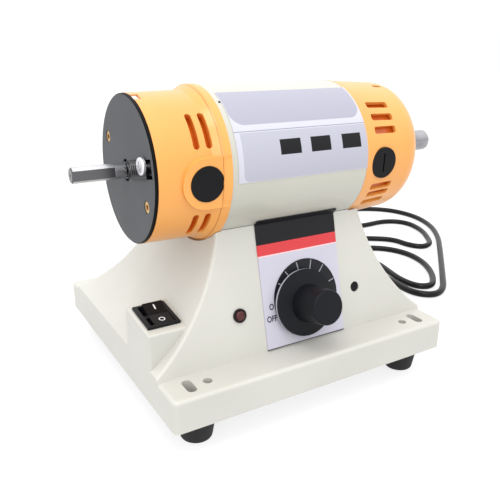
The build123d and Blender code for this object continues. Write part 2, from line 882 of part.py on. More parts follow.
with BuildPart() as heat_sink:
    with BuildSketch(face_plane(sink_back)):
        with Locations((panel_screw_x, panel_screw_up)):
            Rectangle(sink_width, sink_height)
    extrude(amount=-sink_thickness)
    with BuildSketch(face_plane(sink_inner)):
        for offset in sink_fin_offsets:
            with Locations((panel_screw_x + offset, panel_screw_up)):
                Rectangle(sink_fin_thickness, sink_height)
    extrude(amount=-sink_fin_depth)
    with BuildSketch(face_plane(sink_back)):
        with Locations((panel_screw_x, panel_screw_up)):
            Circle(panel_screw_radius + running_gap)
    extrude(amount=-sink_thickness, mode=Mode.SUBTRACT)

with BuildPart() as triac:
    with BuildSketch(face_plane(sink_inner)):
        with Locations((panel_screw_x + triac_offset, panel_screw_up)):
            Rectangle(triac_size[0], triac_size[1])
    extrude(amount=-triac_size[2])

# Rocker switch: body with its bezel, and the rocker on two pins
with BuildPart() as rocker_switch_body:
    with BuildSketch(switch_plane(0)):
        RectangleRounded(bezel_width, bezel_length, bezel_corner)
    extrude(amount=bezel_height)
    fillet(rocker_switch_body.faces().sort_by(Axis.Z)[-1].edges(), bezel_edge)
    with BuildSketch(switch_plane(0)):
        Rectangle(switch_body_width, switch_body_length)
    extrude(amount=-switch_body_depth)
    with BuildSketch(switch_plane(bezel_height)):
        Rectangle(switch_well_width, switch_well_length)
    extrude(amount=-(bezel_height + switch_well_depth), mode=Mode.SUBTRACT)
    with BuildSketch(switch_plane(-switch_body_depth)):
        with GridLocations(1, switch_blade_pitch, 1, 2):
            Rectangle(switch_blade_size[0], switch_blade_size[1])
    extrude(amount=-switch_blade_size[2])
    with BuildSketch(switch_side_plane(-switch_well_width / 2 - rocker_pin_depth, 0)):
        Circle(rocker_pin_radius + fit_gap)
    extrude(amount=switch_well_width + 2 * rocker_pin_depth, mode=Mode.SUBTRACT)

with BuildPart() as rocker:
    end_reach = math.sqrt(rocker_radius**2 - rocker_end_height**2)
    with BuildSketch(switch_side_plane(rocker_offset - rocker_width / 2, rocker_tilt)):
        with BuildLine():
            left_end = (-end_reach, rocker_end_height)
            right_end = (end_reach, rocker_end_height)
            Polyline(left_end, (0, rocker_mid_height), right_end)
            ThreePointArc(left_end, (0, -rocker_radius), right_end)
        make_face()
    extrude(amount=rocker_width)
    fillet(rocker.edges().group_by(Axis.Z)[-1], bezel_edge)
    pin_start = -switch_well_width / 2 - rocker_pin_depth + free_gap
    with BuildSketch(switch_side_plane(pin_start, 0)):
        Circle(rocker_pin_radius)
    extrude(amount=-2 * pin_start)

# Motor tube with tapped holes for the saddle bolts
with BuildPart() as motor_tube:
    with BuildSketch(axial_plane(tube_left)):
        Circle(tube_radius)
        Circle(tube_radius - tube_wall, mode=Mode.SUBTRACT)
    extrude(amount=tube_right - tube_left)
    for station in saddle_bolt_stations:
        for side in (-saddle_bolt_spread, saddle_bolt_spread):
            with BuildSketch(radial_plane(station, side - 90, tube_radius - 2 * tube_wall)):
                Circle(saddle_bolt_radius + running_gap)
            extrude(amount=3 * tube_wall, mode=Mode.SUBTRACT)

with BuildPart() as saddle_bolts:
    for station in saddle_bolt_stations:
        for side in (-saddle_bolt_spread, saddle_bolt_spread):
            seat = seat_radius + saddle_wall + saddle_boss_length
            with BuildSketch(radial_plane(station, side - 90, seat)):
                Circle(saddle_bolt_head)
            extrude(amount=saddle_bolt_head_height)
            with BuildSketch(radial_plane(station, side - 90, tube_radius - tube_wall + free_gap)):
                Circle(saddle_bolt_radius)
            extrude(amount=seat - tube_radius + tube_wall - free_gap)

# Printed label round the front of the tube
with BuildPart() as motor_label:
    with BuildSketch(axial_plane(tube_left + label_wrap_margin)):
        add(ring_sector(tube_radius + running_gap, tube_radius + running_gap + label_wrap_thickness,
                        label_wrap_low, label_wrap_high))
    extrude(amount=tube_right - tube_left - label_wrap_margin)

# Left end cap: flange, ramp, plain barrel and a rim that holds the end plate
cap_inner = left_cap_radius - cap_wall
disc_face = left_cap_end - plate_disc_proud
disc_back = disc_face + plate_disc_thickness
flange_left = tube_left - left_flange_width
ramp_left = flange_left - left_ramp_width
tube_inner = tube_radius - tube_wall
cap_joint = tube_left - joint_gap

with BuildPart() as left_end_cap:
    add(turned([
        (left_cap_end, plate_disc_radius + fit_gap),
        (left_cap_end, left_cap_radius),
        (ramp_left, left_cap_radius + left_cap_draft),
        (flange_left, left_flange_radius - left_flange_chamfer),
        (flange_left + left_flange_chamfer, left_flange_radius),
        (cap_joint, left_flange_radius),
        (cap_joint, tube_inner - fit_gap),
        (tube_left + lip_length, tube_inner - fit_gap),
        (tube_left + lip_length, cap_inner),
        (disc_back + ledge_width, cap_inner),
        (disc_back + ledge_width, ledge_radius),
        (disc_back, ledge_radius),
        (disc_back, plate_disc_radius + fit_gap),
    ]))
    add(turned([
        (left_baffle_span[0], left_baffle_radius - baffle_wall),
        (left_baffle_span[0], left_baffle_radius),
        (left_baffle_span[1], left_baffle_radius),
        (left_baffle_span[1], left_baffle_radius - baffle_wall),
    ]))
    for turn in (0, 180):
        direction = brush_angle + turn
        with BuildSketch(radial_plane(brush_station, direction, cap_inner + margin)):
            Circle(brush_pad_radius)
            with Locations(((cap_joint - margin - brush_station) / 2, 0)):
                Rectangle(cap_joint - margin - brush_station, 2 * brush_pad_radius)
        extrude(amount=brush_pad_rise - cap_inner - margin)
        with BuildSketch(radial_plane(brush_station, direction, brush_boss_depth)):
            Circle(brush_bore_radius + brush_boss_wall)
        extrude(amount=cap_inner + 2 * margin - brush_boss_depth)
        with BuildSketch(radial_plane(brush_station, direction, brush_boss_depth)):
            Circle(brush_bore_radius)
        extrude(amount=brush_pad_rise - brush_boss_depth + margin, mode=Mode.SUBTRACT)
        with BuildSketch(radial_plane(brush_station, direction, brush_pad_rise - brush_cap_recess)):
            Circle(brush_cap_radius + fit_gap)
        extrude(amount=brush_cap_recess + margin, mode=Mode.SUBTRACT)

    # Cooling slots with round ends, on the front and mirrored on the back
    for station in left_vent_stations:
        for low, high in left_vent_spans:
            end_turn = math.degrees(vent_width / 2 / left_cap_radius)
            for first, last in ((low, high), (180 - high, 180 - low)):
                with BuildSketch(axial_plane(station - vent_width / 2)):
                    add(ring_sector(ledge_radius, left_flange_radius + margin, first + end_turn, last - end_turn))
                extrude(amount=vent_width, mode=Mode.SUBTRACT)
                for direction in (first + end_turn, last - end_turn):
                    with BuildSketch(radial_plane(station, direction, ledge_radius)):
                        Circle(vent_width / 2)
                    extrude(amount=left_flange_radius + margin - ledge_radius, mode=Mode.SUBTRACT)
    notch_middle = left_cap_end + rim_notch_length / 2
    with BuildSketch(radial_plane(notch_middle, rim_notch_angle, plate_disc_radius + rim_notch_floor)):
        Rectangle(rim_notch_length, rim_notch_width)
    extrude(amount=rim_notch_length, mode=Mode.SUBTRACT)

# End plate in the left cap: bearing pocket, lock recess and bolt recesses
with BuildPart() as left_end_plate:
    housing_radius = bearing_radius + bearing_housing_wall
    bearing_right = bearing_left + bearing_width
    add(turned([
        (disc_face, hub_hole_radius),
        (disc_face, plate_flange_radius - plate_disc_chamfer),
        (disc_face + plate_disc_chamfer, plate_flange_radius),
        (left_cap_end, plate_flange_radius),
        (left_cap_end, plate_disc_radius),
        (disc_back, plate_disc_radius),
        (disc_back, housing_radius),
        (bearing_right, housing_radius),
        (bearing_right, bearing_radius + running_gap),
        (bearing_left - running_gap, bearing_radius + running_gap),
        (bearing_left - running_gap, hub_hole_radius),
    ]))
    for direction in bolt_directions:
        with BuildSketch(axial_plane(disc_back - overlap)):
            with Locations(polar(bolt_circle, direction)):
                Circle(bolt_boss_radius)
        extrude(amount=ledge_width + overlap)
        with BuildSketch(axial_plane(disc_face)):
            with Locations(polar(bolt_circle, direction)):
                Circle(bolt_head_radius + 4 * fit_gap)
        extrude(amount=bolt_recess_depth, mode=Mode.SUBTRACT)
        with BuildSketch(axial_plane(disc_face)):
            with Locations(polar(bolt_circle, direction)):
                Circle(bolt_radius + 2 * fit_gap)
        extrude(amount=plate_disc_thickness + ledge_width, mode=Mode.SUBTRACT)
    with BuildSketch(axial_plane(disc_back - overlap)):
        with Locations(lock_screw_place()):
            Circle(bolt_boss_radius)
    extrude(amount=ledge_width + overlap)
    with BuildSketch(axial_plane(disc_face)):
        with Locations(lock_place((hub_hole_radius - margin + lock_reach) / 2)):
            Rectangle(lock_reach - hub_hole_radius + margin, lock_width)
    extrude(amount=lock_recess_depth, mode=Mode.SUBTRACT)
    with BuildSketch(axial_plane(disc_face)):
        with Locations(lock_screw_place()):
            Circle(lock_screw_shank + running_gap)
    extrude(amount=plate_disc_thickness + ledge_width, mode=Mode.SUBTRACT)

with BuildPart() as through_bolts:
    for direction in bolt_directions:
        head_face = disc_face + bolt_recess_depth
        with BuildSketch(axial_plane(head_face - bolt_head_height)):
            with Locations(polar(bolt_circle, direction)):
                Circle(bolt_head_radius)
                RegularPolygon(bolt_socket_radius, 6, mode=Mode.SUBTRACT)
        extrude(amount=bolt_socket_depth)
        with BuildSketch(axial_plane(head_face - bolt_head_height + bolt_socket_depth)):
            with Locations(polar(bolt_circle, direction)):
                Circle(bolt_head_radius)
        extrude(amount=bolt_head_height - bolt_socket_depth)
        with BuildSketch(axial_plane(head_face)):
            with Locations(polar(bolt_circle, direction)):
                Circle(bolt_radius)
        extrude(amount=bolt_end - head_face)

# Spindle lock: a forked bar in the recess, its shoulder screw and its return spring
bar_back = disc_face + lock_recess_depth - fit_gap
bar_front = bar_back - lock_bar_thickness
lock_fork_radius = lock_screw_shank + 2 * fit_gap
fork_length = lock_bar_outer + margin - lock_screw_radius

with BuildPart() as spindle_lock:
    with BuildSketch(axial_plane(bar_front)):
        with Locations(lock_place((lock_bar_inner + lock_bar_outer) / 2)):
            Rectangle(lock_bar_outer - lock_bar_inner, lock_width - 2 * lock_side_gap)
        with Locations(lock_place((lock_tip_radius + lock_bar_inner + margin) / 2)):
            Rectangle(lock_bar_inner - lock_tip_radius + margin, lock_tip_width)
        with Locations(lock_screw_place()):
            Circle(lock_fork_radius, mode=Mode.SUBTRACT)
        with Locations(lock_screw_place(fork_length / 2)):
            Rectangle(fork_length, 2 * lock_fork_radius, mode=Mode.SUBTRACT)
    extrude(amount=lock_bar_thickness)
    with BuildSketch(axial_plane(bar_front)):
        for rib in range(lock_grip_count):
            with Locations(lock_place(lock_bar_inner + (rib + 1) * lock_grip_pitch)):
                Rectangle(lock_grip_width, lock_width / 2)
    extrude(amount=lock_grip_depth, mode=Mode.SUBTRACT)

with BuildPart() as lock_screw:
    with BuildSketch(axial_plane(bar_front - fit_gap)):
        with Locations(lock_screw_place()):
            Circle(lock_screw_head)
    extrude(amount=-lock_screw_head_height)
    fillet(lock_screw.edges().group_by(Axis.X)[0], lock_screw_head_height / 2)
    with BuildSketch(axial_plane(bar_front - fit_gap - lock_screw_head_height)):
        with Locations(lock_screw_place()):
            Rectangle(lock_screw_head, lock_recess_cross)
            Rectangle(lock_recess_cross, lock_screw_head)
    extrude(amount=lock_screw_head_height / 2, mode=Mode.SUBTRACT)
    with BuildSketch(axial_plane(bar_front - fit_gap)):
        with Locations(lock_screw_place()):
            Circle(lock_screw_shank)
    extrude(amount=disc_back + ledge_width - overlap - bar_front + fit_gap)

with BuildPart() as lock_spring:
    spring_length = lock_reach - lock_bar_outer - 2 * free_gap
    spring_middle = bar_back - lock_spring_radius - fit_gap
    spring_plane = radial_plane(spring_middle, lock_angle, lock_bar_outer + free_gap)
    with BuildSketch(spring_plane):
        with Locations((0, -lock_width / 4)):
            Circle(lock_spring_radius)
            Circle(lock_spring_radius / 2, mode=Mode.SUBTRACT)
    extrude(amount=spring_length)

# Motor shaft with a flat at the spindle end
relief_left = shaft_left + shaft_flat_length - margin
groove_right = disc_face - free_gap

with BuildPart() as motor_shaft:
    add(turned([
        (shaft_left, 0),
        (shaft_left, shaft_radius - shaft_chamfer),
        (shaft_left + shaft_chamfer, shaft_radius),
        (relief_left, shaft_radius),
        (relief_left, shaft_radius - shaft_relief),
        (groove_right - shaft_groove_width, shaft_radius - shaft_relief),
        (groove_right - shaft_groove_width, shaft_radius - shaft_groove_depth),
        (groove_right, shaft_radius - shaft_groove_depth),
        (groove_right, shaft_radius),
        (rotor_seat_left, shaft_radius),
        (rotor_seat_left, rotor_seat_radius),
        (rotor_seat_right, rotor_seat_radius),
        (rotor_seat_right, shaft_radius),
        (shaft_right - shaft_chamfer, shaft_radius),
        (shaft_right, shaft_radius - shaft_chamfer),
        (shaft_right, 0),
    ]))
    with BuildSketch(radial_plane(shaft_left + shaft_flat_length / 2, 0, shaft_radius - shaft_flat_depth)):
        Rectangle(shaft_flat_length, 2 * shaft_radius)
    extrude(amount=shaft_radius, mode=Mode.SUBTRACT)
    with BuildSketch(axial_plane(shaft_left)):
        Circle(centre_hole_radius)
    extrude(amount=centre_hole_radius, taper=centre_hole_taper, mode=Mode.SUBTRACT)

# Collar on the shaft in the end plate's hole, with notches that the lock bar's tip goes into
collar_back = bearing_left - running_gap
notch_back = bar_back + free_gap
lock_travel = lock_tip_radius - shaft_radius - lock_stop_gap

with BuildPart() as lock_collar:
    add(turned([
        (disc_face, shaft_radius + running_gap / 2),
        (disc_face, lock_collar_radius - lock_collar_chamfer),
        (disc_face + lock_collar_chamfer, lock_collar_radius),
        (collar_back, lock_collar_radius),
        (collar_back, shaft_radius + running_gap / 2),
    ]))
    for notch in range(lock_collar_notches):
        direction = lock_angle + notch * 360 / lock_collar_notches
        with BuildSketch(radial_plane((disc_face + notch_back) / 2, direction, shaft_radius)):
            Rectangle(notch_back - disc_face, lock_tip_width + 2 * free_gap)
        extrude(amount=lock_collar_radius, mode=Mode.SUBTRACT)

with BuildPart() as armature_core:
    with BuildSketch(axial_plane(core_left)):
        Circle(core_radius)
        Circle(rotor_seat_radius + fit_gap / 2, mode=Mode.SUBTRACT)
        with PolarLocations((core_slot_floor + core_radius + margin) / 2, core_slots):
            Rectangle(core_radius + margin - core_slot_floor, core_slot_width, mode=Mode.SUBTRACT)
    extrude(amount=core_right - core_left)

with BuildPart() as armature_windings:
    bar_low = core_slot_floor + fit_gap
    ring_bore = rotor_seat_radius + winding_bore_gap
    for start in (core_left - winding_overhang, core_right + fit_gap):
        with BuildSketch(axial_plane(start)):
            Circle(winding_end_radius)
            Circle(ring_bore, mode=Mode.SUBTRACT)
        extrude(amount=winding_overhang - fit_gap)
    fillet(armature_windings.edges().group_by(Axis.X)[0].sort_by(SortBy.LENGTH)[-1], winding_round)
    fillet(armature_windings.edges().group_by(Axis.X)[-1].sort_by(SortBy.LENGTH)[-1], winding_round)
    with BuildSketch(axial_plane(core_left - margin)):
        with PolarLocations((bar_low + winding_end_radius) / 2, core_slots):
            Rectangle(winding_end_radius - bar_low, core_slot_width - 3 * fit_gap)
    extrude(amount=core_right - core_left + 2 * margin)

with BuildPart() as commutator:
    commutator_start = brush_station - commutator_length / 2
    with BuildSketch(axial_plane(commutator_start)):
        Circle(commutator_radius)
        Circle(rotor_seat_radius + fit_gap / 2, mode=Mode.SUBTRACT)
    extrude(amount=commutator_length)
    with BuildSketch(axial_plane(commutator_start + commutator_length)):
        Circle(riser_radius)
        Circle(rotor_seat_radius + fit_gap / 2, mode=Mode.SUBTRACT)
    extrude(amount=riser_width)
    with BuildSketch(axial_plane(commutator_start)):
        with PolarLocations(commutator_radius, commutator_bars):
            Rectangle(2 * commutator_groove_depth, commutator_groove_width)
    extrude(amount=commutator_length, mode=Mode.SUBTRACT)

with BuildPart() as cooling_fan:
    with BuildSketch(axial_plane(fan_left)):
        Circle(fan_radius)
    extrude(amount=fan_plate)
    with BuildSketch(axial_plane(fan_left)):
        Circle(fan_hub_radius)
        with PolarLocations((fan_hub_radius + fan_radius) / 2, fan_blades):
            Rectangle(fan_radius - fan_hub_radius + margin, fan_plate)
    extrude(amount=fan_width)
    with BuildSketch(axial_plane(fan_left)):
        Circle(rotor_seat_radius + fit_gap / 2)
    extrude(amount=fan_width, mode=Mode.SUBTRACT)

# Ball bearings, each as one ring with recessed shields
bearing_bore = shaft_radius + running_gap


def bearing_ring(left):
    """Shielded bearing whose left side is at x = left."""
    right = left + bearing_width
    return turned([
        (left, bearing_bore),
        (left, bearing_bore + bearing_ring_wall),
        (left + shield_depth, bearing_bore + bearing_ring_wall),
        (left + shield_depth, bearing_radius - bearing_ring_wall),
        (left, bearing_radius - bearing_ring_wall),
        (left, bearing_radius),
        (right, bearing_radius),
        (right, bearing_radius - bearing_ring_wall),
        (right - shield_depth, bearing_radius - bearing_ring_wall),
        (right - shield_depth, bearing_bore + bearing_ring_wall),
        (right, bearing_bore + bearing_ring_wall),
        (right, bearing_bore),
    ])


with BuildPart() as left_bearing:
    add(bearing_ring(bearing_left))

with BuildPart() as right_bearing:
    add(bearing_ring(right_bearing_left))

# Field: laminated core with two poles, and a coil round each pole
core_outer = tube_inner - stator_gap
iron_inner = core_outer - back_iron
shoe_inner = core_radius + air_gap
shoe_outer = shoe_inner + pole_shoe_thickness
pole_directions = (90 - bolt_line_angle, 270 - bolt_line_angle)

with BuildPart() as stator_core:
    with BuildSketch(axial_plane(stator_left)):
        Circle(core_outer)
        Circle(iron_inner, mode=Mode.SUBTRACT)
        for direction in pole_directions:
            with Locations(place((shoe_outer + iron_inner) / 2, direction)):
                Rectangle(iron_inner - shoe_outer + 2 * margin, pole_width)
            shoe_half = pole_shoe_span / 2
            add(ring_sector(shoe_inner, shoe_outer, direction - shoe_half, direction + shoe_half))
    extrude(amount=stator_right - stator_left)

with BuildPart() as field_windings:
    coil_half = pole_width / 2 + winding_gap + winding_width
    with BuildSketch(axial_plane(stator_left - winding_width)):
        for direction in pole_directions:
            low = direction - coil_half_span
            high = direction + coil_half_span
            add(ring_sector(shoe_outer + winding_gap, iron_inner - winding_gap, low, high))
        with Locations(place(0, pole_directions[0])):
            Rectangle(2 * core_outer, 2 * coil_half, mode=Mode.INTERSECT)
    extrude(amount=stator_right - stator_left + 2 * winding_width)
    with BuildSketch(axial_plane(stator_left - winding_gap)):
        with Locations(place(0, pole_directions[0])):
            Rectangle(2 * core_outer, pole_width + 2 * winding_gap)
    extrude(amount=stator_right - stator_left + 2 * winding_gap, mode=Mode.SUBTRACT)

# Brush gear: holder, carbon, spring and screwed cap on both sides of the commutator
brush_inner = commutator_radius + fit_gap
cap_seat = brush_pad_rise - brush_cap_recess
holder_inner = riser_radius + holder_clearance
holder_outer = cap_seat - brush_cap_shank
holder_bore = (brush_size[0] + 2 * fit_gap, brush_size[1] + 2 * fit_gap)
brush_directions = (brush_angle, brush_angle + 180)

with BuildPart() as brush_holders:
    for direction in brush_directions:
        with BuildSketch(radial_plane(brush_station, direction, holder_inner)):
            Circle(brush_bore_radius - fit_gap)
            Rectangle(holder_bore[0], holder_bore[1], mode=Mode.SUBTRACT)
        extrude(amount=holder_outer - holder_inner)

with BuildPart() as carbon_brushes:
    for direction in brush_directions:
        with BuildSketch(radial_plane(brush_station, direction, brush_inner)):
            Rectangle(brush_size[0], brush_size[1])
        extrude(amount=brush_length)

with BuildPart() as brush_springs:
    for direction in brush_directions:
        spring_start = brush_inner + brush_length + fit_gap
        with BuildSketch(radial_plane(brush_station, direction, spring_start)):
            Circle(brush_size[1] / 2 - 2 * fit_gap)
            Circle(brush_size[1] / 2 - brush_spring_wire - 2 * fit_gap, mode=Mode.SUBTRACT)
        extrude(amount=holder_outer - fit_gap - spring_start)


def round_cap(station, direction, seat, shank, slot_depth):
    """Round screwed cap seated at a given distance from the motor axis, with a driver slot or plain."""
    with BuildPart() as cap:
        with BuildSketch(radial_plane(station, direction, seat)):
            Circle(brush_cap_radius)
        extrude(amount=brush_cap_thickness)
        with BuildSketch(radial_plane(station, direction, seat - shank)):
            Circle(brush_bore_radius - fit_gap)
        extrude(amount=shank)
        if slot_depth:
            with BuildSketch(radial_plane(station, direction, seat + brush_cap_thickness)):
                Rectangle(cap_slot_width, cap_slot_length)
            extrude(amount=-slot_depth, mode=Mode.SUBTRACT)
    return cap.part


with BuildPart() as brush_caps:
    for direction in brush_directions:
        add(round_cap(brush_station, direction, cap_seat, cap_seat - holder_outer - fit_gap, 0))

with BuildPart() as port_caps:
    for direction in brush_directions:
        add(round_cap(port_station, direction, port_seat_radius, port_plug_depth, cap_slot_depth))

# Right end cap: tapered barrel with a rounded end, carrying the other bearing
right_cap_start = tube_right + joint_gap


def right_cap_form(inset):
    """Solid outline of the right end cap, shrunk by inset."""
    barrel = [(x, radius - inset) for x, radius in right_cap_profile]
    slant = inset * math.sqrt(0.5)
    middle = (right_cap_shoulder[0] - slant, right_cap_shoulder[1] - slant)
    last = (right_cap_end[0] - inset, right_cap_end[1])
    with BuildPart() as form:
        with BuildSketch(profile_plane()):
            with BuildLine():
                Polyline((right_cap_start, 0), (right_cap_start, right_cap_radius - inset), *barrel)
                ThreePointArc(barrel[-1], middle, last)
                Polyline(last, (last[0], 0), (right_cap_start, 0))
            make_face()
        revolve(axis=motor_axis)
    return form.part


right_cap_shell = right_cap_form(0)
right_cap_inside = right_cap_form(cap_wall)
right_bearing_right = right_bearing_left + bearing_width

with BuildPart() as right_end_cap:
    add(right_cap_shell)
    add(right_cap_inside, mode=Mode.SUBTRACT)
    add(turned([
        (tube_right - lip_length, tube_inner - fit_gap - cap_wall),
        (tube_right - lip_length, tube_inner - fit_gap),
        (right_cap_start, tube_inner - fit_gap),
        (right_cap_start, right_cap_radius - cap_wall / 2),
        (right_cap_start + cap_wall, right_cap_radius - cap_wall / 2),
        (right_cap_start + cap_wall, tube_inner - fit_gap - cap_wall),
    ]))
    add(turned([
        (right_bearing_left, bearing_radius + running_gap),
        (right_bearing_left, bearing_radius + bearing_housing_wall),
        (right_cap_end[0] - cap_wall / 2, bearing_radius + bearing_housing_wall),
        (right_cap_end[0] - cap_wall / 2, right_hole_radius),
        (right_bearing_right + running_gap, right_hole_radius),
        (right_bearing_right + running_gap, bearing_radius + running_gap),
    ]))
    add(turned([
        (right_baffle_span[0], right_baffle_radius - baffle_wall),
        (right_baffle_span[0], right_baffle_radius),
        (right_baffle_span[1], right_baffle_radius),
        (right_baffle_span[1], right_baffle_radius - baffle_wall),
    ]))
    for direction in bolt_directions:
        with BuildSketch(axial_plane(right_cap_start)):
            with Locations(polar(bolt_circle, direction)):
                Circle(bolt_boss_radius)
            with Locations(place((bolt_circle + right_cap_radius - cap_wall / 2) / 2, direction)):
                Rectangle(right_cap_radius - cap_wall / 2 - bolt_circle, 2 * bolt_boss_radius)
        extrude(amount=bolt_boss_length)
        with BuildSketch(axial_plane(right_cap_start)):
            with Locations(polar(bolt_circle, direction)):
                Circle(bolt_radius + running_gap)
        extrude(amount=bolt_boss_length, mode=Mode.SUBTRACT)
    with BuildSketch(axial_plane(right_bearing_right)):
        Circle(right_hole_radius)
    extrude(amount=right_cap_end[0], mode=Mode.SUBTRACT)

    # Ports opposite the brush caps, and the cooling slots on the front and the back
    for direction in brush_directions:
        with BuildSketch(radial_plane(port_station, direction, right_baffle_radius - baffle_wall / 2)):
            Circle(brush_bore_radius + brush_boss_wall)
        extrude(amount=port_seat_radius - right_baffle_radius)
        with BuildSketch(radial_plane(port_station, direction, port_seat_radius)):
            Circle(brush_cap_radius + fit_gap)
        extrude(amount=cap_wall, mode=Mode.SUBTRACT)
        with BuildSketch(radial_plane(port_station, direction, port_seat_radius - 2 * cap_wall)):
            Circle(brush_bore_radius)
        extrude(amount=3 * cap_wall, mode=Mode.SUBTRACT)
    for angle in right_vent_angles:
        for direction in (angle, 180 - angle):
            with BuildSketch(radial_plane(right_vent_station, direction, right_baffle_radius + right_baffle_gap)):
                RectangleRounded(right_vent_length, right_vent_width, right_vent_round)
            extrude(amount=right_cap_radius - right_baffle_radius, mode=Mode.SUBTRACT)
    with BuildSketch(radial_plane(top_notch_station, top_notch_angle, fan_radius + margin)):
        SlotOverall(top_notch_size[0], top_notch_size[1])
    extrude(amount=right_cap_radius - fan_radius, mode=Mode.SUBTRACT)

# Coupling for the flexible shaft, held by a set screw
with BuildPart() as flex_coupling:
    add(turned([
        (coupling_left, shaft_radius + running_gap / 2),
        (coupling_left, coupling_radius - coupling_chamfer),
        (coupling_left + coupling_chamfer, coupling_radius),
        (coupling_right - coupling_nose_length, coupling_radius),
        (coupling_right, coupling_nose_radius),
        (coupling_right, coupling_bore_radius),
        (coupling_right - coupling_bore_depth, coupling_bore_radius),
        (coupling_right - coupling_bore_depth, 0),
        (shaft_right + free_gap, 0),
        (shaft_right + free_gap, shaft_radius + running_gap / 2),
    ]))
    with BuildSketch(radial_plane(coupling_left + coupling_screw_inset, 90, shaft_radius)):
        Circle(coupling_screw_radius + running_gap)
    extrude(amount=coupling_radius, mode=Mode.SUBTRACT)

with BuildPart() as coupling_screw:
    with BuildSketch(radial_plane(coupling_left + coupling_screw_inset, 90, shaft_radius + fit_gap)):
        Circle(coupling_screw_radius)
    extrude(amount=coupling_radius - shaft_radius - 2 * free_gap)
    screw_head = coupling_radius - 2 * free_gap
    with BuildSketch(radial_plane(coupling_left + coupling_screw_inset, 90, screw_head)):
        RegularPolygon(coupling_screw_radius / 2, 6)
    extrude(amount=-coupling_screw_socket, mode=Mode.SUBTRACT)

# Speed control board on snap-in standoffs
board_bottom = plate_top + board_rise
board_top = board_bottom + board_thickness
hole_pitch_x = board_length - 2 * board_hole_inset
hole_pitch_y = board_width - 2 * board_hole_inset

with BuildPart() as speed_board:
    with BuildSketch(Plane.XY.offset(board_bottom)):
        with Locations((board_x, board_y)):
            Rectangle(board_length, board_width)
            with GridLocations(hole_pitch_x, hole_pitch_y, 2, 2):
                Circle(standoff_pin_radius + fit_gap, mode=Mode.SUBTRACT)
    extrude(amount=board_thickness)

with BuildPart() as board_standoffs:
    with BuildSketch(Plane.XY.offset(plate_top)):
        with Locations((board_x, board_y)):
            with GridLocations(hole_pitch_x, hole_pitch_y, 2, 2):
                Circle(standoff_radius)
    extrude(amount=board_rise)
    with BuildSketch(Plane.XY.offset(board_bottom)):
        with Locations((board_x, board_y)):
            with GridLocations(hole_pitch_x, hole_pitch_y, 2, 2):
                Circle(standoff_pin_radius)
    extrude(amount=board_thickness + standoff_cap_height)
    with BuildSketch(Plane.XY.offset(board_top + running_gap)):
        with Locations((board_x, board_y)):
            with GridLocations(hole_pitch_x, hole_pitch_y, 2, 2):
                Circle(standoff_cap_radius)
    extrude(amount=standoff_cap_height)

with BuildPart() as board_components:
    with BuildSketch(Plane.XY.offset(board_top)):
        with Locations((board_x - board_length / 4, board_y)):
            Rectangle(capacitor_size[0], capacitor_size[1])
    extrude(amount=capacitor_size[2])
    with BuildSketch(Plane.XY.offset(board_top)):
        with Locations((board_x + board_length / 8, board_y - board_width / 6)):
            Circle(choke_radius)
            Circle(choke_bore, mode=Mode.SUBTRACT)
    extrude(amount=choke_height)
    with BuildSketch(Plane.XY.offset(board_top)):
        with Locations((board_x + board_length / 4, board_y + board_width / 3 - margin)):
            Rectangle(terminal_size[0], terminal_size[1])
    extrude(amount=terminal_size[2])

# Strain relief in the back wall: inner collar, outer flange and tapering sleeve
with BuildPart() as strain_relief:
    with BuildSketch(relief_plane.offset(-wall - fit_gap)):
        Circle(relief_flange_radius)
    extrude(amount=-relief_flange_thickness)
    with BuildSketch(relief_plane.offset(-wall - margin)):
        Circle(relief_hole_radius)
    extrude(amount=wall + 2 * margin)
    with BuildSketch(relief_plane.offset(fit_gap)):
        Circle(relief_flange_radius)
    extrude(amount=relief_flange_thickness)
    with BuildSketch(relief_plane.offset(relief_flange_thickness)):
        Circle(relief_hole_radius)
    with BuildSketch(relief_plane.offset(relief_flange_thickness + relief_sleeve_length)):
        Circle(relief_tip_radius)
    loft()

# Cord: from the relief's tip down to the floor, round in loose loops and into the plug.
# Each point is (x, y, height of the middle); the heights rest the cord on the floor.
lay = cord_diameter / 2 + cord_lift
relief_tip_y = base_depth / 2 + relief_flange_thickness + relief_sleeve_length
plug_z = plug_body_height / 2 + plug_floor_gap
cord_points = [
    (cord_exit_x, relief_tip_y, cord_exit_z), (cord_exit_x, relief_tip_y + cord_straight, cord_exit_z),
    (61.5, 156, 25), (65, 175, 12), (73, 197, lay), (94, 224, lay),
    (134, 246, lay), (186, 262, lay), (242, 274, lay), (298, 280, lay), (352, 272, lay), (390, 244, lay),
    (399, 202, lay), (385, 158, lay), (356, 118, lay), (321, 83, lay), (287, 50, lay), (254, 18, lay),
    (230, -5, lay), (211, -12, lay), (197, 0, lay), (196, 21, lay), (201, 50, lay), (208, 80, lay),
    (192, 110, lay), (156, 128, lay), (116, 142, lay), (91, 170, lay), (100, 206, lay), (136, 226, lay),
    (180, 232, lay), (222, 226, lay), (262, 210, lay), (302, 200, lay), (344, 204, lay), (366, 184, lay),
    (358, 148, lay), (339, 119, lay), (325, 102, lay), (308, 98, lay), (298, 113, lay), (297, 137, lay),
    (276, 154, lay), (250, 168, lay), (222, 180, lay), (197, 174, lay), (192, 150, lay), (212, 136, lay),
    (238, 132, lay), (262, 120, lay), (275, 94, lay), (271, 64, lay), (257, 38, lay), (241, 19, lay),
    (225, 6, lay), (211, 13, lay), (209, 34, lay), (215, 58, lay), (222, 84, lay), (214, 114, 4.4),
    (197, 136, plug_z), (176, 147, plug_z),
]


def bend_radii(points):
    """Radius at each inner point: 0.45 of its shorter run over the tangent of half its turn."""
    radii = []
    for before, here, after in zip(points, points[1:], points[2:]):
        run_in = Vector(*here) - Vector(*before)
        run_out = Vector(*after) - Vector(*here)
        half_turn = math.radians(run_in.get_angle(run_out)) / 2
        radii.append(0.45 * min(run_in.length, run_out.length) / math.tan(half_turn))
    return radii


cord_radii = bend_radii(cord_points)

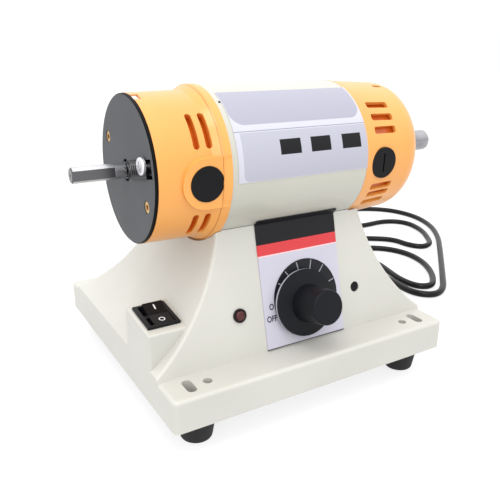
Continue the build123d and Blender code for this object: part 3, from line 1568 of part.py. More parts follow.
with BuildPart() as power_cord:
    with BuildLine() as cord_route:
        FilletPolyline(*cord_points, radius=cord_radii)
    with BuildSketch(Plane(origin=cord_route.line @ 0, z_dir=cord_route.line % 0)):
        Circle(cord_diameter / 2)
    sweep(path=cord_route.line)

# Plug: tapering entry, flat body with a narrower nose and two round pins
plug_start = Vector(*cord_points[-1])
plug_heading = (plug_start - Vector(*cord_points[-2])).normalized()
plug_plane = Plane(origin=plug_start, x_dir=plug_heading.cross(Vector(0, 0, 1)), z_dir=plug_heading)

with BuildPart() as power_plug:
    with BuildSketch(plug_plane):
        Circle(plug_entry_radius)
    with BuildSketch(plug_plane.offset(plug_entry_length)):
        Circle(plug_entry_root_radius)
    loft()
    with BuildSketch(plug_plane.offset(plug_entry_length)):
        RectangleRounded(plug_body_back_width, plug_body_height, plug_edge_radius)
    with BuildSketch(plug_plane.offset(plug_entry_length + plug_body_shoulder)):
        RectangleRounded(plug_body_width, plug_body_height, plug_edge_radius)
    loft()
    with BuildSketch(plug_plane.offset(plug_entry_length + plug_body_shoulder)):
        RectangleRounded(plug_body_width, plug_body_height, plug_edge_radius)
    with BuildSketch(plug_plane.offset(plug_entry_length + plug_body_length)):
        RectangleRounded(plug_body_nose_width, plug_body_height, plug_edge_radius)
    loft()

with BuildPart() as plug_pins:
    with BuildSketch(plug_plane.offset(plug_entry_length + plug_body_length)):
        with GridLocations(plug_pin_spread, 1, 2, 1):
            Circle(plug_pin_radius)
    extrude(amount=plug_pin_length)
    fillet(plug_pins.edges().filter_by(GeomType.CIRCLE).group_by(Axis.X)[0], plug_pin_radius / 2)


def least_gap(route, diameter, step=2.0, skip=36.0):
    """Least space between two stretches of the cord that lie further than skip apart along it."""
    count = int(route.length / step)
    places = [route.position_at(index / count) for index in range(count + 1)]
    far = int(skip / step)
    nearest = min(
        (places[first] - places[second]).length
        for first in range(len(places))
        for second in range(first + far, len(places))
    )
    return nearest - diameter


# Write one file for each piece
pieces = {
    "base_housing": base_housing,
    "bottom_plate": bottom_plate,
    "rubber_feet": rubber_feet,
    "foot_screws": foot_screws,
    "plate_screws": plate_screws,
    "label_plate": label_plate,
    "dial_disc": dial_disc,
    "potentiometer": potentiometer,
    "pot_nut": pot_nut,
    "pot_shaft": pot_shaft,
    "speed_knob": speed_knob,
    "pilot_lamp": pilot_lamp,
    "pilot_lens": pilot_lens,
    "panel_screw": panel_screw,
    "heat_sink": heat_sink,
    "triac": triac,
    "rocker_switch_body": rocker_switch_body,
    "rocker": rocker,
    "motor_tube": motor_tube,
    "saddle_bolts": saddle_bolts,
    "motor_label": motor_label,
    "left_end_cap": left_end_cap,
    "left_end_plate": left_end_plate,
    "through_bolts": through_bolts,
    "spindle_lock": spindle_lock,
    "lock_screw": lock_screw,
    "lock_spring": lock_spring,
    "motor_shaft": motor_shaft,
    "lock_collar": lock_collar,
    "armature_core": armature_core,
    "armature_windings": armature_windings,
    "commutator": commutator,
    "cooling_fan": cooling_fan,
    "left_bearing": left_bearing,
    "right_bearing": right_bearing,
    "stator_core": stator_core,
    "field_windings": field_windings,
    "brush_holders": brush_holders,
    "carbon_brushes": carbon_brushes,
    "brush_springs": brush_springs,
    "brush_caps": brush_caps,
    "port_caps": port_caps,
    "right_end_cap": right_end_cap,
    "flex_coupling": flex_coupling,
    "coupling_screw": coupling_screw,
    "speed_board": speed_board,
    "board_standoffs": board_standoffs,
    "board_components": board_components,
    "strain_relief": strain_relief,
    "power_cord": power_cord,
    "power_plug": power_plug,
    "plug_pins": plug_pins,
}
os.makedirs("parts", exist_ok=True)
for name, piece in pieces.items():
    piece.part.label = name
    export_step(piece.part, f"parts/{name}.step")

cord_path = cord_route.wires()[0]
cord_length = cord_path.length
cord_section = math.pi * cord_diameter**2 / 4
print("travel of the lock bar", round(lock_travel, 2))
print("cord radii", [round(radius, 1) for radius in cord_radii])
print("cord length", round(cord_length, 1), "volume over section times length",
      round(power_cord.part.volume / (cord_section * cord_length), 4))
print("least gap of the cord to itself", round(least_gap(cord_path, cord_diameter), 2))
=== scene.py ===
"""Dresses the bench polishing machine: finishes, printed marks, cord, studio light and camera.

Sizes are millimetres in the machine's own frame: the origin is the middle of the base on the
surface it stands on, +X runs along the motor shaft towards the coupling, -Y faces the user
and +Z is up.
"""

from __future__ import annotations

import logging
import math
from dataclasses import dataclass, field
from enum import Enum

import bpy
from mathutils import Matrix, Vector

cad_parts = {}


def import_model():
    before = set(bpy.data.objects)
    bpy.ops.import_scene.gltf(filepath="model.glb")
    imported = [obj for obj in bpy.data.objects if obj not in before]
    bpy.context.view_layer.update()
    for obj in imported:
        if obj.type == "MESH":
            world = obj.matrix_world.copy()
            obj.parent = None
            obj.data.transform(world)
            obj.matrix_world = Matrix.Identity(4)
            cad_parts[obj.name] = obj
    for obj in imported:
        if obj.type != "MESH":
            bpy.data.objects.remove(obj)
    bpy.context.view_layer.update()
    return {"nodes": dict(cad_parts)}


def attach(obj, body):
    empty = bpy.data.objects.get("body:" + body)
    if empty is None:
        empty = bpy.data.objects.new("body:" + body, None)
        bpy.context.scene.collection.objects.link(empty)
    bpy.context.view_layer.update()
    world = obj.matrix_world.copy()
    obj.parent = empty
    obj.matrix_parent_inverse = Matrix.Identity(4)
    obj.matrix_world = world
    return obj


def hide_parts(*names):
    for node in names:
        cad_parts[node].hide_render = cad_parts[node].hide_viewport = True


MM = 0.001
LOG = logging.getLogger("polishing_machine")

Triple = tuple[float, float, float]

# The sRGB curve: a straight toe, then a power.
SRGB_TOE = 0.04045
SRGB_TOE_SLOPE = 12.92
SRGB_OFFSET = 0.055
SRGB_POWER = 2.4

# Shares that all finishes have in common.
ROUGHNESS_SPREAD = 0.12
PATCH_EDGES = (0.35, 0.65)
BUMP_STRENGTH = 0.6
COAT_ROUGHNESS = 0.12
WAVE_LENGTH = 20
FACING_LIMIT = 0.9
WELD_REACH = 1e-6

# How the thin printed marks are made.
BAR_EDGE_SHARE = 0.4
RING_SIDES = 40


def linear(hex_colour: str) -> tuple[float, float, float, float]:
    """Turns an sRGB hex colour into linear light.

    Args:
        hex_colour: Six hex digits, such as "dadbd3".

    Returns:
        Red, green, blue and an alpha of one.
    """
    channels = [int(hex_colour[i:i + 2], 16) / 255 for i in (0, 2, 4)]
    lights = [c / SRGB_TOE_SLOPE if c <= SRGB_TOE else ((c + SRGB_OFFSET) / (1 + SRGB_OFFSET)) ** SRGB_POWER
              for c in channels]
    return (*lights, 1.0)


def add_node(tree: bpy.types.NodeTree, kind: str, settings: dict | None = None,
             values: dict | None = None, links: dict | None = None) -> bpy.types.Node:
    """Adds one shader node.

    Args:
        tree: The material's node tree.
        kind: The node's type, such as "ShaderNodeBump".
        settings: Values of the node's own properties.
        values: Values of its inputs, by name or number.
        links: Output sockets to join to its inputs, by name or number.

    Returns:
        The new node.
    """
    node = tree.nodes.new(kind)
    for key, value in (settings or {}).items():
        setattr(node, key, value)
    for key, value in (values or {}).items():
        node.inputs[key].default_value = value
    for key, socket in (links or {}).items():
        tree.links.new(socket, node.inputs[key])
    return node


class Texture(Enum):
    """How the fine pattern of a surface runs."""

    GRAIN = "fine grain all over"
    TURNED = "tool marks round the motor axis"
    BRUSHED = "lines along the motor axis"
    STACKED = "thin sheets stacked along the motor axis"
    WOUND = "rows of wire"
    RIBBED = "rings across the cord"


BAND_DIRECTIONS: dict[Texture, str] = {Texture.STACKED: "X", Texture.WOUND: "Z", Texture.RIBBED: "Y"}
GRAIN_STRETCH: dict[Texture, Triple] = {Texture.GRAIN: (1.0, 1.0, 1.0), Texture.TURNED: (1.0, 0.04, 0.04),
                                        Texture.BRUSHED: (0.04, 1.0, 1.0)}


class Facing(Enum):
    """Which faces of a flat piece are chosen, by its own z axis."""

    TOP = "top"
    ENDS = "top and bottom"


@dataclass(frozen=True)
class Machine:
    """Reference sizes that the pieces share, as in the part's source."""

    axis_y: float = -28.28
    axis_z: float = 162.21
    tube_radius: float = 49.9
    dial_x: float = 4.8
    dial_up: float = 31.5
    knob_x: float = 0.6
    knob_up: float = 28.6
    base_top: float = 40.9
    face_foot_y: float = -81.6
    face_lean: float = 13.4
    switch_middle: Triple = (-96.5, -51.0, 70.55)
    switch_rise: float = 4.5
    switch_length: float = 40.0

    def on_face(self, x: float, up: float, out: float) -> Vector:
        """Returns a point of the leaning face.

        Args:
            x: Distance to the right of the machine's middle.
            up: Distance up the slope from the foot of the face.
            out: Distance out from the face.

        Returns:
            The point in millimetres.
        """
        lean = math.radians(self.face_lean)
        return Vector((x, self.face_foot_y + up * math.sin(lean) - out * math.cos(lean),
                       self.base_top + up * math.cos(lean) + out * math.sin(lean)))

    def motor_middle(self) -> Vector:
        """Returns a point of the motor axis."""
        return Vector((0.0, self.axis_y, self.axis_z))

    def dial_axis(self) -> Vector:
        """Returns the direction in which the knob stands out from the face."""
        return self.on_face(0.0, 0.0, 1.0) - self.on_face(0.0, 0.0, 0.0)

    def face_turn(self) -> Matrix:
        """Returns the turn that lays a flat shape on the face, its y up the slope."""
        return Matrix.Rotation(math.radians(90 - self.face_lean), 4, "X")

    def switch_tilt(self) -> float:
        """Returns the slope of the switch box's top in radians."""
        return math.atan2(self.switch_rise, self.switch_length)

    def on_motor(self, x: float, angle: float, radius: float) -> Vector:
        """Returns a point round the motor axis.

        Args:
            x: Place along the axis.
            angle: Degrees from the front upwards.
            radius: Distance from the axis.

        Returns:
            The point in millimetres.
        """
        turn = math.radians(angle)
        return Vector((x, self.axis_y - radius * math.cos(turn), self.axis_z + radius * math.sin(turn)))


MACHINE = Machine()


class Spread(Enum):
    """What a printed field is measured along."""

    UPRIGHT = "x and z"
    WRAPPED = "x and the arc round the motor"


@dataclass(frozen=True)
class Field:
    """A printed field with rounded corners, by two ranges in millimetres."""

    colour: str
    across: tuple[float, float]
    along: tuple[float, float]
    corner: float = 0.0
    spread: Spread = Spread.UPRIGHT
    edge: float = 0.02

    def mask(self, tree: bpy.types.NodeTree, place: bpy.types.NodeSocket) -> bpy.types.NodeSocket:
        """Adds the test of whether a point lies in the field.

        Args:
            tree: The material's node tree.
            place: The socket with the object coordinates.

        Returns:
            A socket that is 1 inside and 0 outside.
        """
        if self.spread is Spread.WRAPPED:
            centred = add_node(tree, "ShaderNodeVectorMath", {"operation": "SUBTRACT"},
                               {1: MACHINE.motor_middle() * MM}, {0: place})
            split = add_node(tree, "ShaderNodeSeparateXYZ", None, None, {0: centred.outputs[0]})
            front = add_node(tree, "ShaderNodeMath", {"operation": "MULTIPLY"}, {1: -1.0},
                             {0: split.outputs[1]})
            turn = add_node(tree, "ShaderNodeMath", {"operation": "ARCTAN2"}, None,
                            {0: split.outputs[2], 1: front.outputs[0]})
            arc = add_node(tree, "ShaderNodeMath", {"operation": "MULTIPLY"}, {1: MACHINE.tube_radius * MM},
                           {0: turn.outputs[0]})
            flat = add_node(tree, "ShaderNodeCombineXYZ", None, None,
                            {0: split.outputs[0], 2: arc.outputs[0]})
        else:
            flat = add_node(tree, "ShaderNodeVectorMath", {"operation": "MULTIPLY"}, {1: (1.0, 0.0, 1.0)},
                            {0: place})
        middle = Vector((sum(self.across) / 2, 0.0, sum(self.along) / 2)) * MM
        half = Vector(((self.across[1] - self.across[0]) / 2 - self.corner, 0.0,
                       (self.along[1] - self.along[0]) / 2 - self.corner)) * MM
        off = add_node(tree, "ShaderNodeVectorMath", {"operation": "SUBTRACT"}, {1: middle},
                       {0: flat.outputs[0]})
        size = add_node(tree, "ShaderNodeVectorMath", {"operation": "ABSOLUTE"}, None, {0: off.outputs[0]})
        past = add_node(tree, "ShaderNodeVectorMath", {"operation": "SUBTRACT"}, {1: half},
                        {0: size.outputs[0]})
        out = add_node(tree, "ShaderNodeVectorMath", {"operation": "MAXIMUM"}, {1: (0.0, 0.0, 0.0)},
                       {0: past.outputs[0]})
        reach = add_node(tree, "ShaderNodeVectorMath", {"operation": "LENGTH"}, None, {0: out.outputs[0]})
        inside = add_node(tree, "ShaderNodeMath", {"operation": "LESS_THAN"},
                          {1: (self.corner + self.edge) * MM}, {0: reach.outputs["Value"]})
        return inside.outputs[0]


@dataclass(frozen=True)
class Ring:
    """A band of colour at a distance from a turning axis, in millimetres."""

    colour: str
    radii: tuple[float, float]
    blur: float
    point: Triple = (0.0, MACHINE.axis_y, MACHINE.axis_z)
    axis: Triple = (1.0, 0.0, 0.0)
    heights: tuple[float, float] = (-400.0, 400.0)

    def mask(self, tree: bpy.types.NodeTree, place: bpy.types.NodeSocket) -> bpy.types.NodeSocket:
        """Adds the test of whether a point lies in the band.

        Args:
            tree: The material's node tree.
            place: The socket with the object coordinates.

        Returns:
            A socket that is 1 inside and fades to 0 outside.
        """
        middle, half = sum(self.radii) / 2, (self.radii[1] - self.radii[0]) / 2
        off = add_node(tree, "ShaderNodeVectorMath", {"operation": "SUBTRACT"}, {1: Vector(self.point) * MM},
                       {0: place})
        arm = add_node(tree, "ShaderNodeVectorMath", {"operation": "CROSS_PRODUCT"}, {1: self.axis},
                       {0: off.outputs[0]})
        radius = add_node(tree, "ShaderNodeVectorMath", {"operation": "LENGTH"}, None, {0: arm.outputs[0]})
        past = add_node(tree, "ShaderNodeMath", {"operation": "SUBTRACT"}, {1: middle * MM},
                        {0: radius.outputs["Value"]})
        size = add_node(tree, "ShaderNodeMath", {"operation": "ABSOLUTE"}, None, {0: past.outputs[0]})
        inside = add_node(tree, "ShaderNodeMapRange", None,
                          {"From Min": (half + self.blur) * MM, "From Max": half * MM},
                          {"Value": size.outputs[0]})
        height = add_node(tree, "ShaderNodeVectorMath", {"operation": "DOT_PRODUCT"}, {1: self.axis},
                          {0: off.outputs[0]})
        level = add_node(tree, "ShaderNodeMath", {"operation": "COMPARE"},
                         {1: sum(self.heights) / 2 * MM, 2: (self.heights[1] - self.heights[0]) / 2 * MM},
                         {0: height.outputs["Value"]})
        both = add_node(tree, "ShaderNodeMath", {"operation": "MULTIPLY"}, None,
                        {0: inside.outputs[0], 1: level.outputs[0]})
        return both.outputs[0]


@dataclass(frozen=True)
class Finish:
    """A surface: what it is made of, how it was made and what the eye sees of that.

    Roughness and IOR start from typical values of the material and are matched to the object.
    The grain and the patches are real sizes in millimetres.
    """

    name: str
    slot: str
    colour: str
    shade: str
    roughness: float
    grain: float
    relief: float = 0.01
    metallic: float = 0.0
    ior: float = 1.5
    coat: float = 0.0
    texture: Texture = Texture.GRAIN
    patch: float = 30.0
    layers: tuple[Field | Ring, ...] = ()
    # A band given a painted glow, and the strength of that painted glow: light painted into the surface, not
    # a lamp.
    lit: Ring | None = None
    glow: float = 0.0
    seen_through: float = 0.0

    def pattern(self, tree: bpy.types.NodeTree, place: bpy.types.NodeSocket) -> bpy.types.NodeSocket:
        """Adds the fine pattern.

        Args:
            tree: The material's node tree.
            place: The socket with the object coordinates.

        Returns:
            The socket with the pattern's height from 0 to 1.
        """
        scale = 1.0 / (self.grain * MM)
        if self.texture in BAND_DIRECTIONS:
            wave = add_node(tree, "ShaderNodeTexWave",
                            {"wave_type": "BANDS", "bands_direction": BAND_DIRECTIONS[self.texture]},
                            {"Scale": scale / WAVE_LENGTH, "Distortion": 0.4, "Detail": 1.0,
                             "Detail Scale": 0.5},
                            {"Vector": place})
            return wave.outputs["Fac"]
        squeezed = add_node(tree, "ShaderNodeVectorMath", {"operation": "MULTIPLY"},
                            {1: GRAIN_STRETCH[self.texture]}, {0: place})
        noise = add_node(tree, "ShaderNodeTexNoise", None, {"Scale": scale, "Detail": 3.0, "Roughness": 0.55},
                         {"Vector": squeezed.outputs[0]})
        return noise.outputs["Fac"]

    def material(self) -> bpy.types.Material:
        """Makes the material of this finish the first time it is asked for.

        Returns:
            The material, the same one each time.
        """
        made = bpy.data.materials.get(self.name)
        if made is not None:
            return made
        made = bpy.data.materials.new(self.name)
        made.use_nodes = True
        tree = made.node_tree
        tree.nodes.clear()
        place = add_node(tree, "ShaderNodeTexCoord").outputs["Object"]
        height = self.pattern(tree, place)

        patches = add_node(tree, "ShaderNodeTexNoise", None,
                           {"Scale": 1.0 / (self.patch * MM), "Detail": 2.0}, {"Vector": place})
        blend = add_node(tree, "ShaderNodeMapRange", None,
                         {"From Min": PATCH_EDGES[0], "From Max": PATCH_EDGES[1]},
                         {"Value": patches.outputs["Fac"]})
        mix = add_node(tree, "ShaderNodeMix", {"data_type": "RGBA"},
                       {6: linear(self.colour), 7: linear(self.shade)}, {0: blend.outputs[0]})
        for layer in self.layers:
            mix = add_node(tree, "ShaderNodeMix", {"data_type": "RGBA"}, {7: linear(layer.colour)},
                           {0: layer.mask(tree, place), 6: mix.outputs[2]})
        rough = add_node(tree, "ShaderNodeMapRange", None,
                         {"To Min": self.roughness * (1 - ROUGHNESS_SPREAD),
                          "To Max": min(1.0, self.roughness * (1 + ROUGHNESS_SPREAD))},
                         {"Value": height})
        bump = add_node(tree, "ShaderNodeBump", None,
                        {"Strength": BUMP_STRENGTH, "Distance": self.relief * MM}, {"Height": height})
        shader = add_node(tree, "ShaderNodeBsdfPrincipled", None,
                          {"Metallic": self.metallic, "IOR": self.ior, "Coat Weight": self.coat,
                           "Coat Roughness": COAT_ROUGHNESS, "Transmission Weight": self.seen_through,
                           "Emission Strength": self.glow, "Emission Color": linear(self.colour)},
                          {"Base Color": mix.outputs[2], "Roughness": rough.outputs[0],
                           "Normal": bump.outputs[0]})
        # Painted glow: only the lit band shines, in its colour.
        if self.lit is not None:
            light = add_node(tree, "ShaderNodeMix", {"data_type": "RGBA"},
                             {6: (0.0, 0.0, 0.0, 1.0), 7: linear(self.lit.colour)},
                             {0: self.lit.mask(tree, place)})
            tree.links.new(light.outputs[2], shader.inputs["Emission Color"])
        add_node(tree, "ShaderNodeOutputMaterial", None, None, {"Surface": shader.outputs[0]})
        made.diffuse_color = linear(self.colour)
        return made


# Aluminium casting under an epoxy powder coat: a faint orange peel about 1.5 mm across and a
# satin sheen.
HOUSING_PAINT = Finish("cream_powder_coat", "cream_paint", "bbbab3", "b6b5ae", 0.45, 1.5, relief=0.03,
                       coat=0.1, patch=60.0)
# Rolled steel tube in sprayed gloss enamel: almost smooth, with a clear highlight.
TUBE_PAINT = Finish("white_gloss_enamel", "white_paint", "b3b2a8", "afaea3", 0.32, 2.5, relief=0.01,
                    coat=0.3, patch=80.0)
# Injection moulded ABS: smooth and glossy. The layers are painted shade and a painted highlight: its
# inside painted burnt orange as shade, the notch in the left rim painted pale as a highlight, and a darker
# line of painted shade at the groove beside the wide flange. The slots and the inside also get a painted
# deep orange glow in place of the light that comes through its walls.
CAP_PLASTIC = Finish("orange_abs_moulding", "orange_plastic", "dc9848", "d99344", 0.34, 1.2, relief=0.006,
                     coat=0.25, patch=50.0,
                     # Painted shade: everything nearer the axis than the outer wall is painted burnt orange.
                     layers=(Ring("b4560f", (0.0, 45.2), 1.2, heights=(-120.0, 94.0)),
                             # Painted highlight: the notch in the left rim is painted pale.
                             Ring("e9e6df", (40.0, 45.6), 0.1, heights=(-101.0, -96.2)),
                             # Painted shade: a darker orange line at the groove beside the wide flange.
                             Ring("b87428", (45.0, 60.0), 0.1, heights=(-61.2, -60.5))),
                     # Painted glow: the inside and the slots shine deep orange, though no lamp is there.
                     lit=Ring("b0440c", (0.0, 45.0), 1.2, heights=(-96.0, 94.0)), glow=0.3)
# The same plastic behind the slots, painted a deeper orange as painted shade, with a painted deep orange
# glow.
FAN_PLASTIC = Finish("orange_abs_fan", "orange_plastic", "c0581a", "b45016", 0.4, 1.2, relief=0.006,
                     # Painted glow over the whole fan.
                     lit=Ring("b0440c", (0.0, 60.0), 1.2), glow=0.2)
# Moulded phenolic plate: dark grey, even and dull, with its turned rim painted black as painted shade of the
# gap to the cap.
PLATE_PLASTIC = Finish("grey_phenolic_plate", "grey_disc", "505154", "4c4d50", 0.5, 0.9, relief=0.01,
                       # Painted shade: the band at the plate's rim is painted black.
                       patch=40.0, ior=1.2, layers=(Ring("060505", (45.7, 48.0), 0.1),))
# Screen printed polycarbonate film: satin, with a red band between a pink line and a black field,
# and a painted shadow: a dark strip along its lower edge, where the plate's edge casts shade.
FACE_FILM = Finish("face_label_print", "label_film", "b6b4c0", "b3b1be", 0.34, 0.8, relief=0.004, patch=40.0,
                   ior=1.32,
                   layers=(Field("e0bcc0", (-40.0, 40.0), (103.4, 111.6)),
                           Field("c23c40", (-40.0, 40.0), (104.2, 111.6)),
                           Field("121216", (-40.0, 40.0), (111.4, 140.0)),
                           # Painted shadow: the dark strip along the lower edge.
                           Field("303334", (-40.0, 40.0), (40.0, 42.3))))
# Printed vinyl wrap: satin lavender fields on near white, a thin line and three dark boxes that
# stay empty. The second field keeps the lower panel's upper corners square.
WRAP_FILM = Finish("motor_label_print", "label_film", "b8b8c2", "b5b5bf", 0.36, 0.8, relief=0.004, patch=50.0,
                   ior=1.32,
                   layers=(Field("a4a4b0", (-47.3, 70.0), (-4.0, 34.0), 4.5, Spread.WRAPPED),
                           Field("b8b8c2", (-60.0, 60.0), (25.4, 34.2), 0.0, Spread.WRAPPED),
                           Field("9898a5", (-50.6, 48.2), (30.4, 66.0), 9.0, Spread.WRAPPED),
                           Field("8b8b99", (-60.0, 60.0), (25.9, 26.5), 0.0, Spread.WRAPPED),
                           Field("0a0a0e", (-20.4, -4.9), (172.6, 181.6)),
                           Field("0a0a0e", (2.9, 18.5), (172.6, 181.6)),
                           Field("0a0a0e", (27.9, 43.5), (172.6, 181.6))))
# Moulded black nylon and phenolic: dark with a soft sheen.
BLACK_PLASTIC = Finish("black_satin_plastic", "black_plastic", "101114", "0d0e11", 0.42, 0.6, relief=0.008,
                       ior=1.26)
# The knob is the same moulding, with a painted highlight: its skirt's back edge is painted lighter grey.
KNOB_PLASTIC = Finish("black_knob_plastic", "black_plastic", "101217", "0e1014", 0.4, 0.6, relief=0.008,
                      ior=1.25,
                      # Painted highlight on the skirt's back edge.
                      layers=(Ring("a0a0a8", (22.7, 24.0), 0.1,
                                   tuple(MACHINE.on_face(MACHINE.knob_x, MACHINE.knob_up, 0.0)),
                                   tuple(MACHINE.dial_axis()), (3.6, 5.4)),))
# Polished phenolic, and the blackened lock bar: darker, with a sharper highlight.
GLOSS_BLACK = Finish("black_gloss_plastic", "black_plastic", "0b0c0f", "090a0c", 0.28, 0.8, relief=0.003,
                     ior=1.26)
# Printed aluminium disc under the knob: charcoal, a shade lighter than the knob.
DISC_PRINT = Finish("charcoal_dial_print", "black_plastic", "191a20", "17181d", 0.4, 0.8, relief=0.004,
                    ior=1.3)
# Moulded nitrile rubber: matt, with a fine bloom.
FOOT_RUBBER = Finish("black_nitrile_rubber", "black_rubber", "161618", "1a1a1c", 0.7, 0.7, relief=0.02,
                     patch=12.0, ior=1.4)
# Extruded PVC sheath: soft sheen with faint extrusion lines.
CORD_SHEATH = Finish("black_pvc_sheath", "black_rubber", "08080a", "0a0a0c", 0.3, 0.8, relief=0.01,
                     patch=25.0, ior=1.3)
# Softer PVC of the cord's relief: duller, with ribs across it.
RELIEF_RUBBER = Finish("ribbed_pvc_relief", "black_rubber", "141417", "17171a", 0.5, 2.0, relief=0.3,
                       texture=Texture.RIBBED, ior=1.4)
# Cast acrylic over an unlit neon lamp: clear dark red.
LENS_RED = Finish("red_acrylic_lens", "red_lens", "4c0f11", "380a0c", 0.12, 1.0, relief=0.004, ior=1.49,
                  seen_through=0.25)
# Moulded nylon round the lens: black with a warm tint, and polished.
LAMP_RIM = Finish("black_lamp_rim", "lamp_rim", "120e0e", "0f0c0c", 0.3, 0.6, relief=0.004, ior=1.3)
# Ground carbon steel: fine grinding lines round it, bright where it faces the light. Its milled flat,
# with all else within 4.85 mm of the axis, is painted darker as a painted dark reflection.
SHAFT_STEEL = Finish("ground_shaft_steel", "shaft_steel", "cacacd", "bcbcc0", 0.24, 0.35, relief=0.006,
                     metallic=1.0, texture=Texture.TURNED, patch=14.0,
                     # Painted reflection: the milled flat, the end and the groove painted dark grey.
                     layers=(Ring("646467", (0.0, 4.85), 0.08),))
# Oil blackened steel: almost black with a dull sheen.
BLACKED_STEEL = Finish("oil_blackened_steel", "shaft_steel", "1c1c1e", "161618", 0.4, 0.4, relief=0.005,
                       metallic=0.8, texture=Texture.TURNED)
# Turned and plated coupling: a greyer steel than the shaft, with tool marks round it.
COUPLING_STEEL = Finish("plated_coupling_steel", "shaft_steel", "a2a2a6", "8e8e92", 0.24, 0.35, relief=0.006,
                        metallic=1.0, texture=Texture.TURNED, patch=14.0)
# Ground bearing rings: smooth and bright.
BEARING_STEEL = Finish("bearing_chrome_steel", "shaft_steel", "b4b4b8", "a2a2a8", 0.22, 0.4, relief=0.003,
                       metallic=1.0, texture=Texture.TURNED)
# Satin chromed screw: almost white, with a soft highlight.
CHROME_SCREW = Finish("chromed_screw_head", "chrome_screw", "e8e8ec", "dedee2", 0.38, 0.6, relief=0.003,
                      metallic=1.0)
# Zinc plated steel: pale grey with a cloudy bloom.
ZINC_STEEL = Finish("zinc_plated_steel", "zinc_steel", "a8aaac", "94979a", 0.38, 1.5, relief=0.008,
                    metallic=1.0, patch=8.0)
# Brass and brassed steel: warm yellow, a little uneven.
BRASS_SCREW = Finish("brassed_screw_head", "brass_screw", "d8b47c", "c8a268", 0.34, 0.8, relief=0.006,
                     metallic=1.0)
# Punched electrical sheet 0.5 mm thick, drawn at 1 mm a sheet so that it shows.
LAMINATIONS = Finish("electrical_sheet_stack", "lamination_steel", "6a6a6e", "58585c", 0.5, 1.0, relief=0.12,
                     metallic=0.8, texture=Texture.STACKED)
# Enamelled copper wire 0.6 mm thick, drawn at 1 mm so that it shows.
WIRE_TURNS = Finish("enamelled_copper_turns", "copper_winding", "9a4a22", "7c3617", 0.3, 1.0, relief=0.2,
                    metallic=0.4, coat=0.6, texture=Texture.WOUND)
# Turned copper where the brushes run: bright, with fine rings.
COPPER_BARS = Finish("commutator_copper", "copper_bars", "c87f56", "a8643e", 0.32, 0.4, relief=0.006,
                     metallic=1.0, texture=Texture.TURNED)
# Undyed nylon: milky and satin.
NYLON = Finish("natural_nylon", "white_nylon", "c8c6bc", "c0beb2", 0.45, 1.0, relief=0.01)
# Pressed carbon of the brushes: dark grey and matt.
CARBON = Finish("pressed_carbon", "carbon", "2c2c2e", "242426", 0.65, 0.5, relief=0.02)
# Bare extruded aluminium: pale, with lines along its length.
SINK_ALUMINIUM = Finish("extruded_aluminium", "aluminium", "b8b9bb", "a8aaac", 0.35, 0.6, relief=0.01,
                        metallic=1.0, texture=Texture.BRUSHED)
# Glass epoxy under green solder mask: satin dark green.
BOARD_GREEN = Finish("glass_epoxy_board", "board_laminate", "1e4c26", "1a4220", 0.35, 1.0, relief=0.01)
# Screen printed inks: flat and slightly raised.
TICK_INK = Finish("grey_screen_ink", "label_film", "8e8e96", "87878f", 0.45, 0.5, relief=0.003)
DARK_INK = Finish("dark_screen_ink", "black_plastic", "30323f", "2c2e3a", 0.45, 0.5, relief=0.003, ior=1.4)
SWITCH_INK = Finish("white_switch_ink", "white_nylon", "d8d8d8", "d0d0d0", 0.4, 0.5, relief=0.003)

NODE_FINISHES: dict[str, Finish] = {
    "base_housing": HOUSING_PAINT,
    "bottom_plate": ZINC_STEEL,
    "rubber_feet": FOOT_RUBBER,
    "foot_screws": ZINC_STEEL,
    "plate_screws": ZINC_STEEL,
    "label_plate": FACE_FILM,
    "dial_disc": DISC_PRINT,
    "potentiometer": ZINC_STEEL,
    "pot_nut": ZINC_STEEL,
    "pot_shaft": ZINC_STEEL,
    "speed_knob": KNOB_PLASTIC,
    "pilot_lamp": LAMP_RIM,
    "pilot_lens": LENS_RED,
    "panel_screw": GLOSS_BLACK,
    "heat_sink": SINK_ALUMINIUM,
    "triac": BLACK_PLASTIC,
    "rocker_switch_body": BLACK_PLASTIC,
    "rocker": BLACK_PLASTIC,
    "motor_tube": TUBE_PAINT,
    "saddle_bolts": ZINC_STEEL,
    "motor_label": WRAP_FILM,
    "left_end_cap": CAP_PLASTIC,
    "left_end_plate": PLATE_PLASTIC,
    "through_bolts": BRASS_SCREW,
    "spindle_lock": GLOSS_BLACK,
    "lock_screw": CHROME_SCREW,
    "lock_spring": BLACKED_STEEL,
    "lock_collar": BLACKED_STEEL,
    "motor_shaft": SHAFT_STEEL,
    "armature_core": LAMINATIONS,
    "armature_windings": WIRE_TURNS,
    "commutator": COPPER_BARS,
    "cooling_fan": FAN_PLASTIC,
    "left_bearing": BEARING_STEEL,
    "right_bearing": BEARING_STEEL,
    "stator_core": LAMINATIONS,
    "field_windings": WIRE_TURNS,
    "brush_holders": BRASS_SCREW,
    "carbon_brushes": CARBON,
    "brush_springs": ZINC_STEEL,
    "brush_caps": GLOSS_BLACK,
    "port_caps": GLOSS_BLACK,
    "right_end_cap": CAP_PLASTIC,
    "flex_coupling": COUPLING_STEEL,
    "coupling_screw": ZINC_STEEL,
    "speed_board": BOARD_GREEN,
    "board_standoffs": NYLON,
    "board_components": BLACK_PLASTIC,
    "strain_relief": RELIEF_RUBBER,
    "power_plug": BLACK_PLASTIC,
    "plug_pins": BRASS_SCREW,
}


def start_piece() -> None:
    """Leaves nothing selected, so that the next operator touches only what it makes."""
    if bpy.context.object is not None and bpy.context.object.mode != "OBJECT":
        bpy.ops.object.mode_set(mode="OBJECT")
    bpy.ops.object.select_all(action="DESELECT")


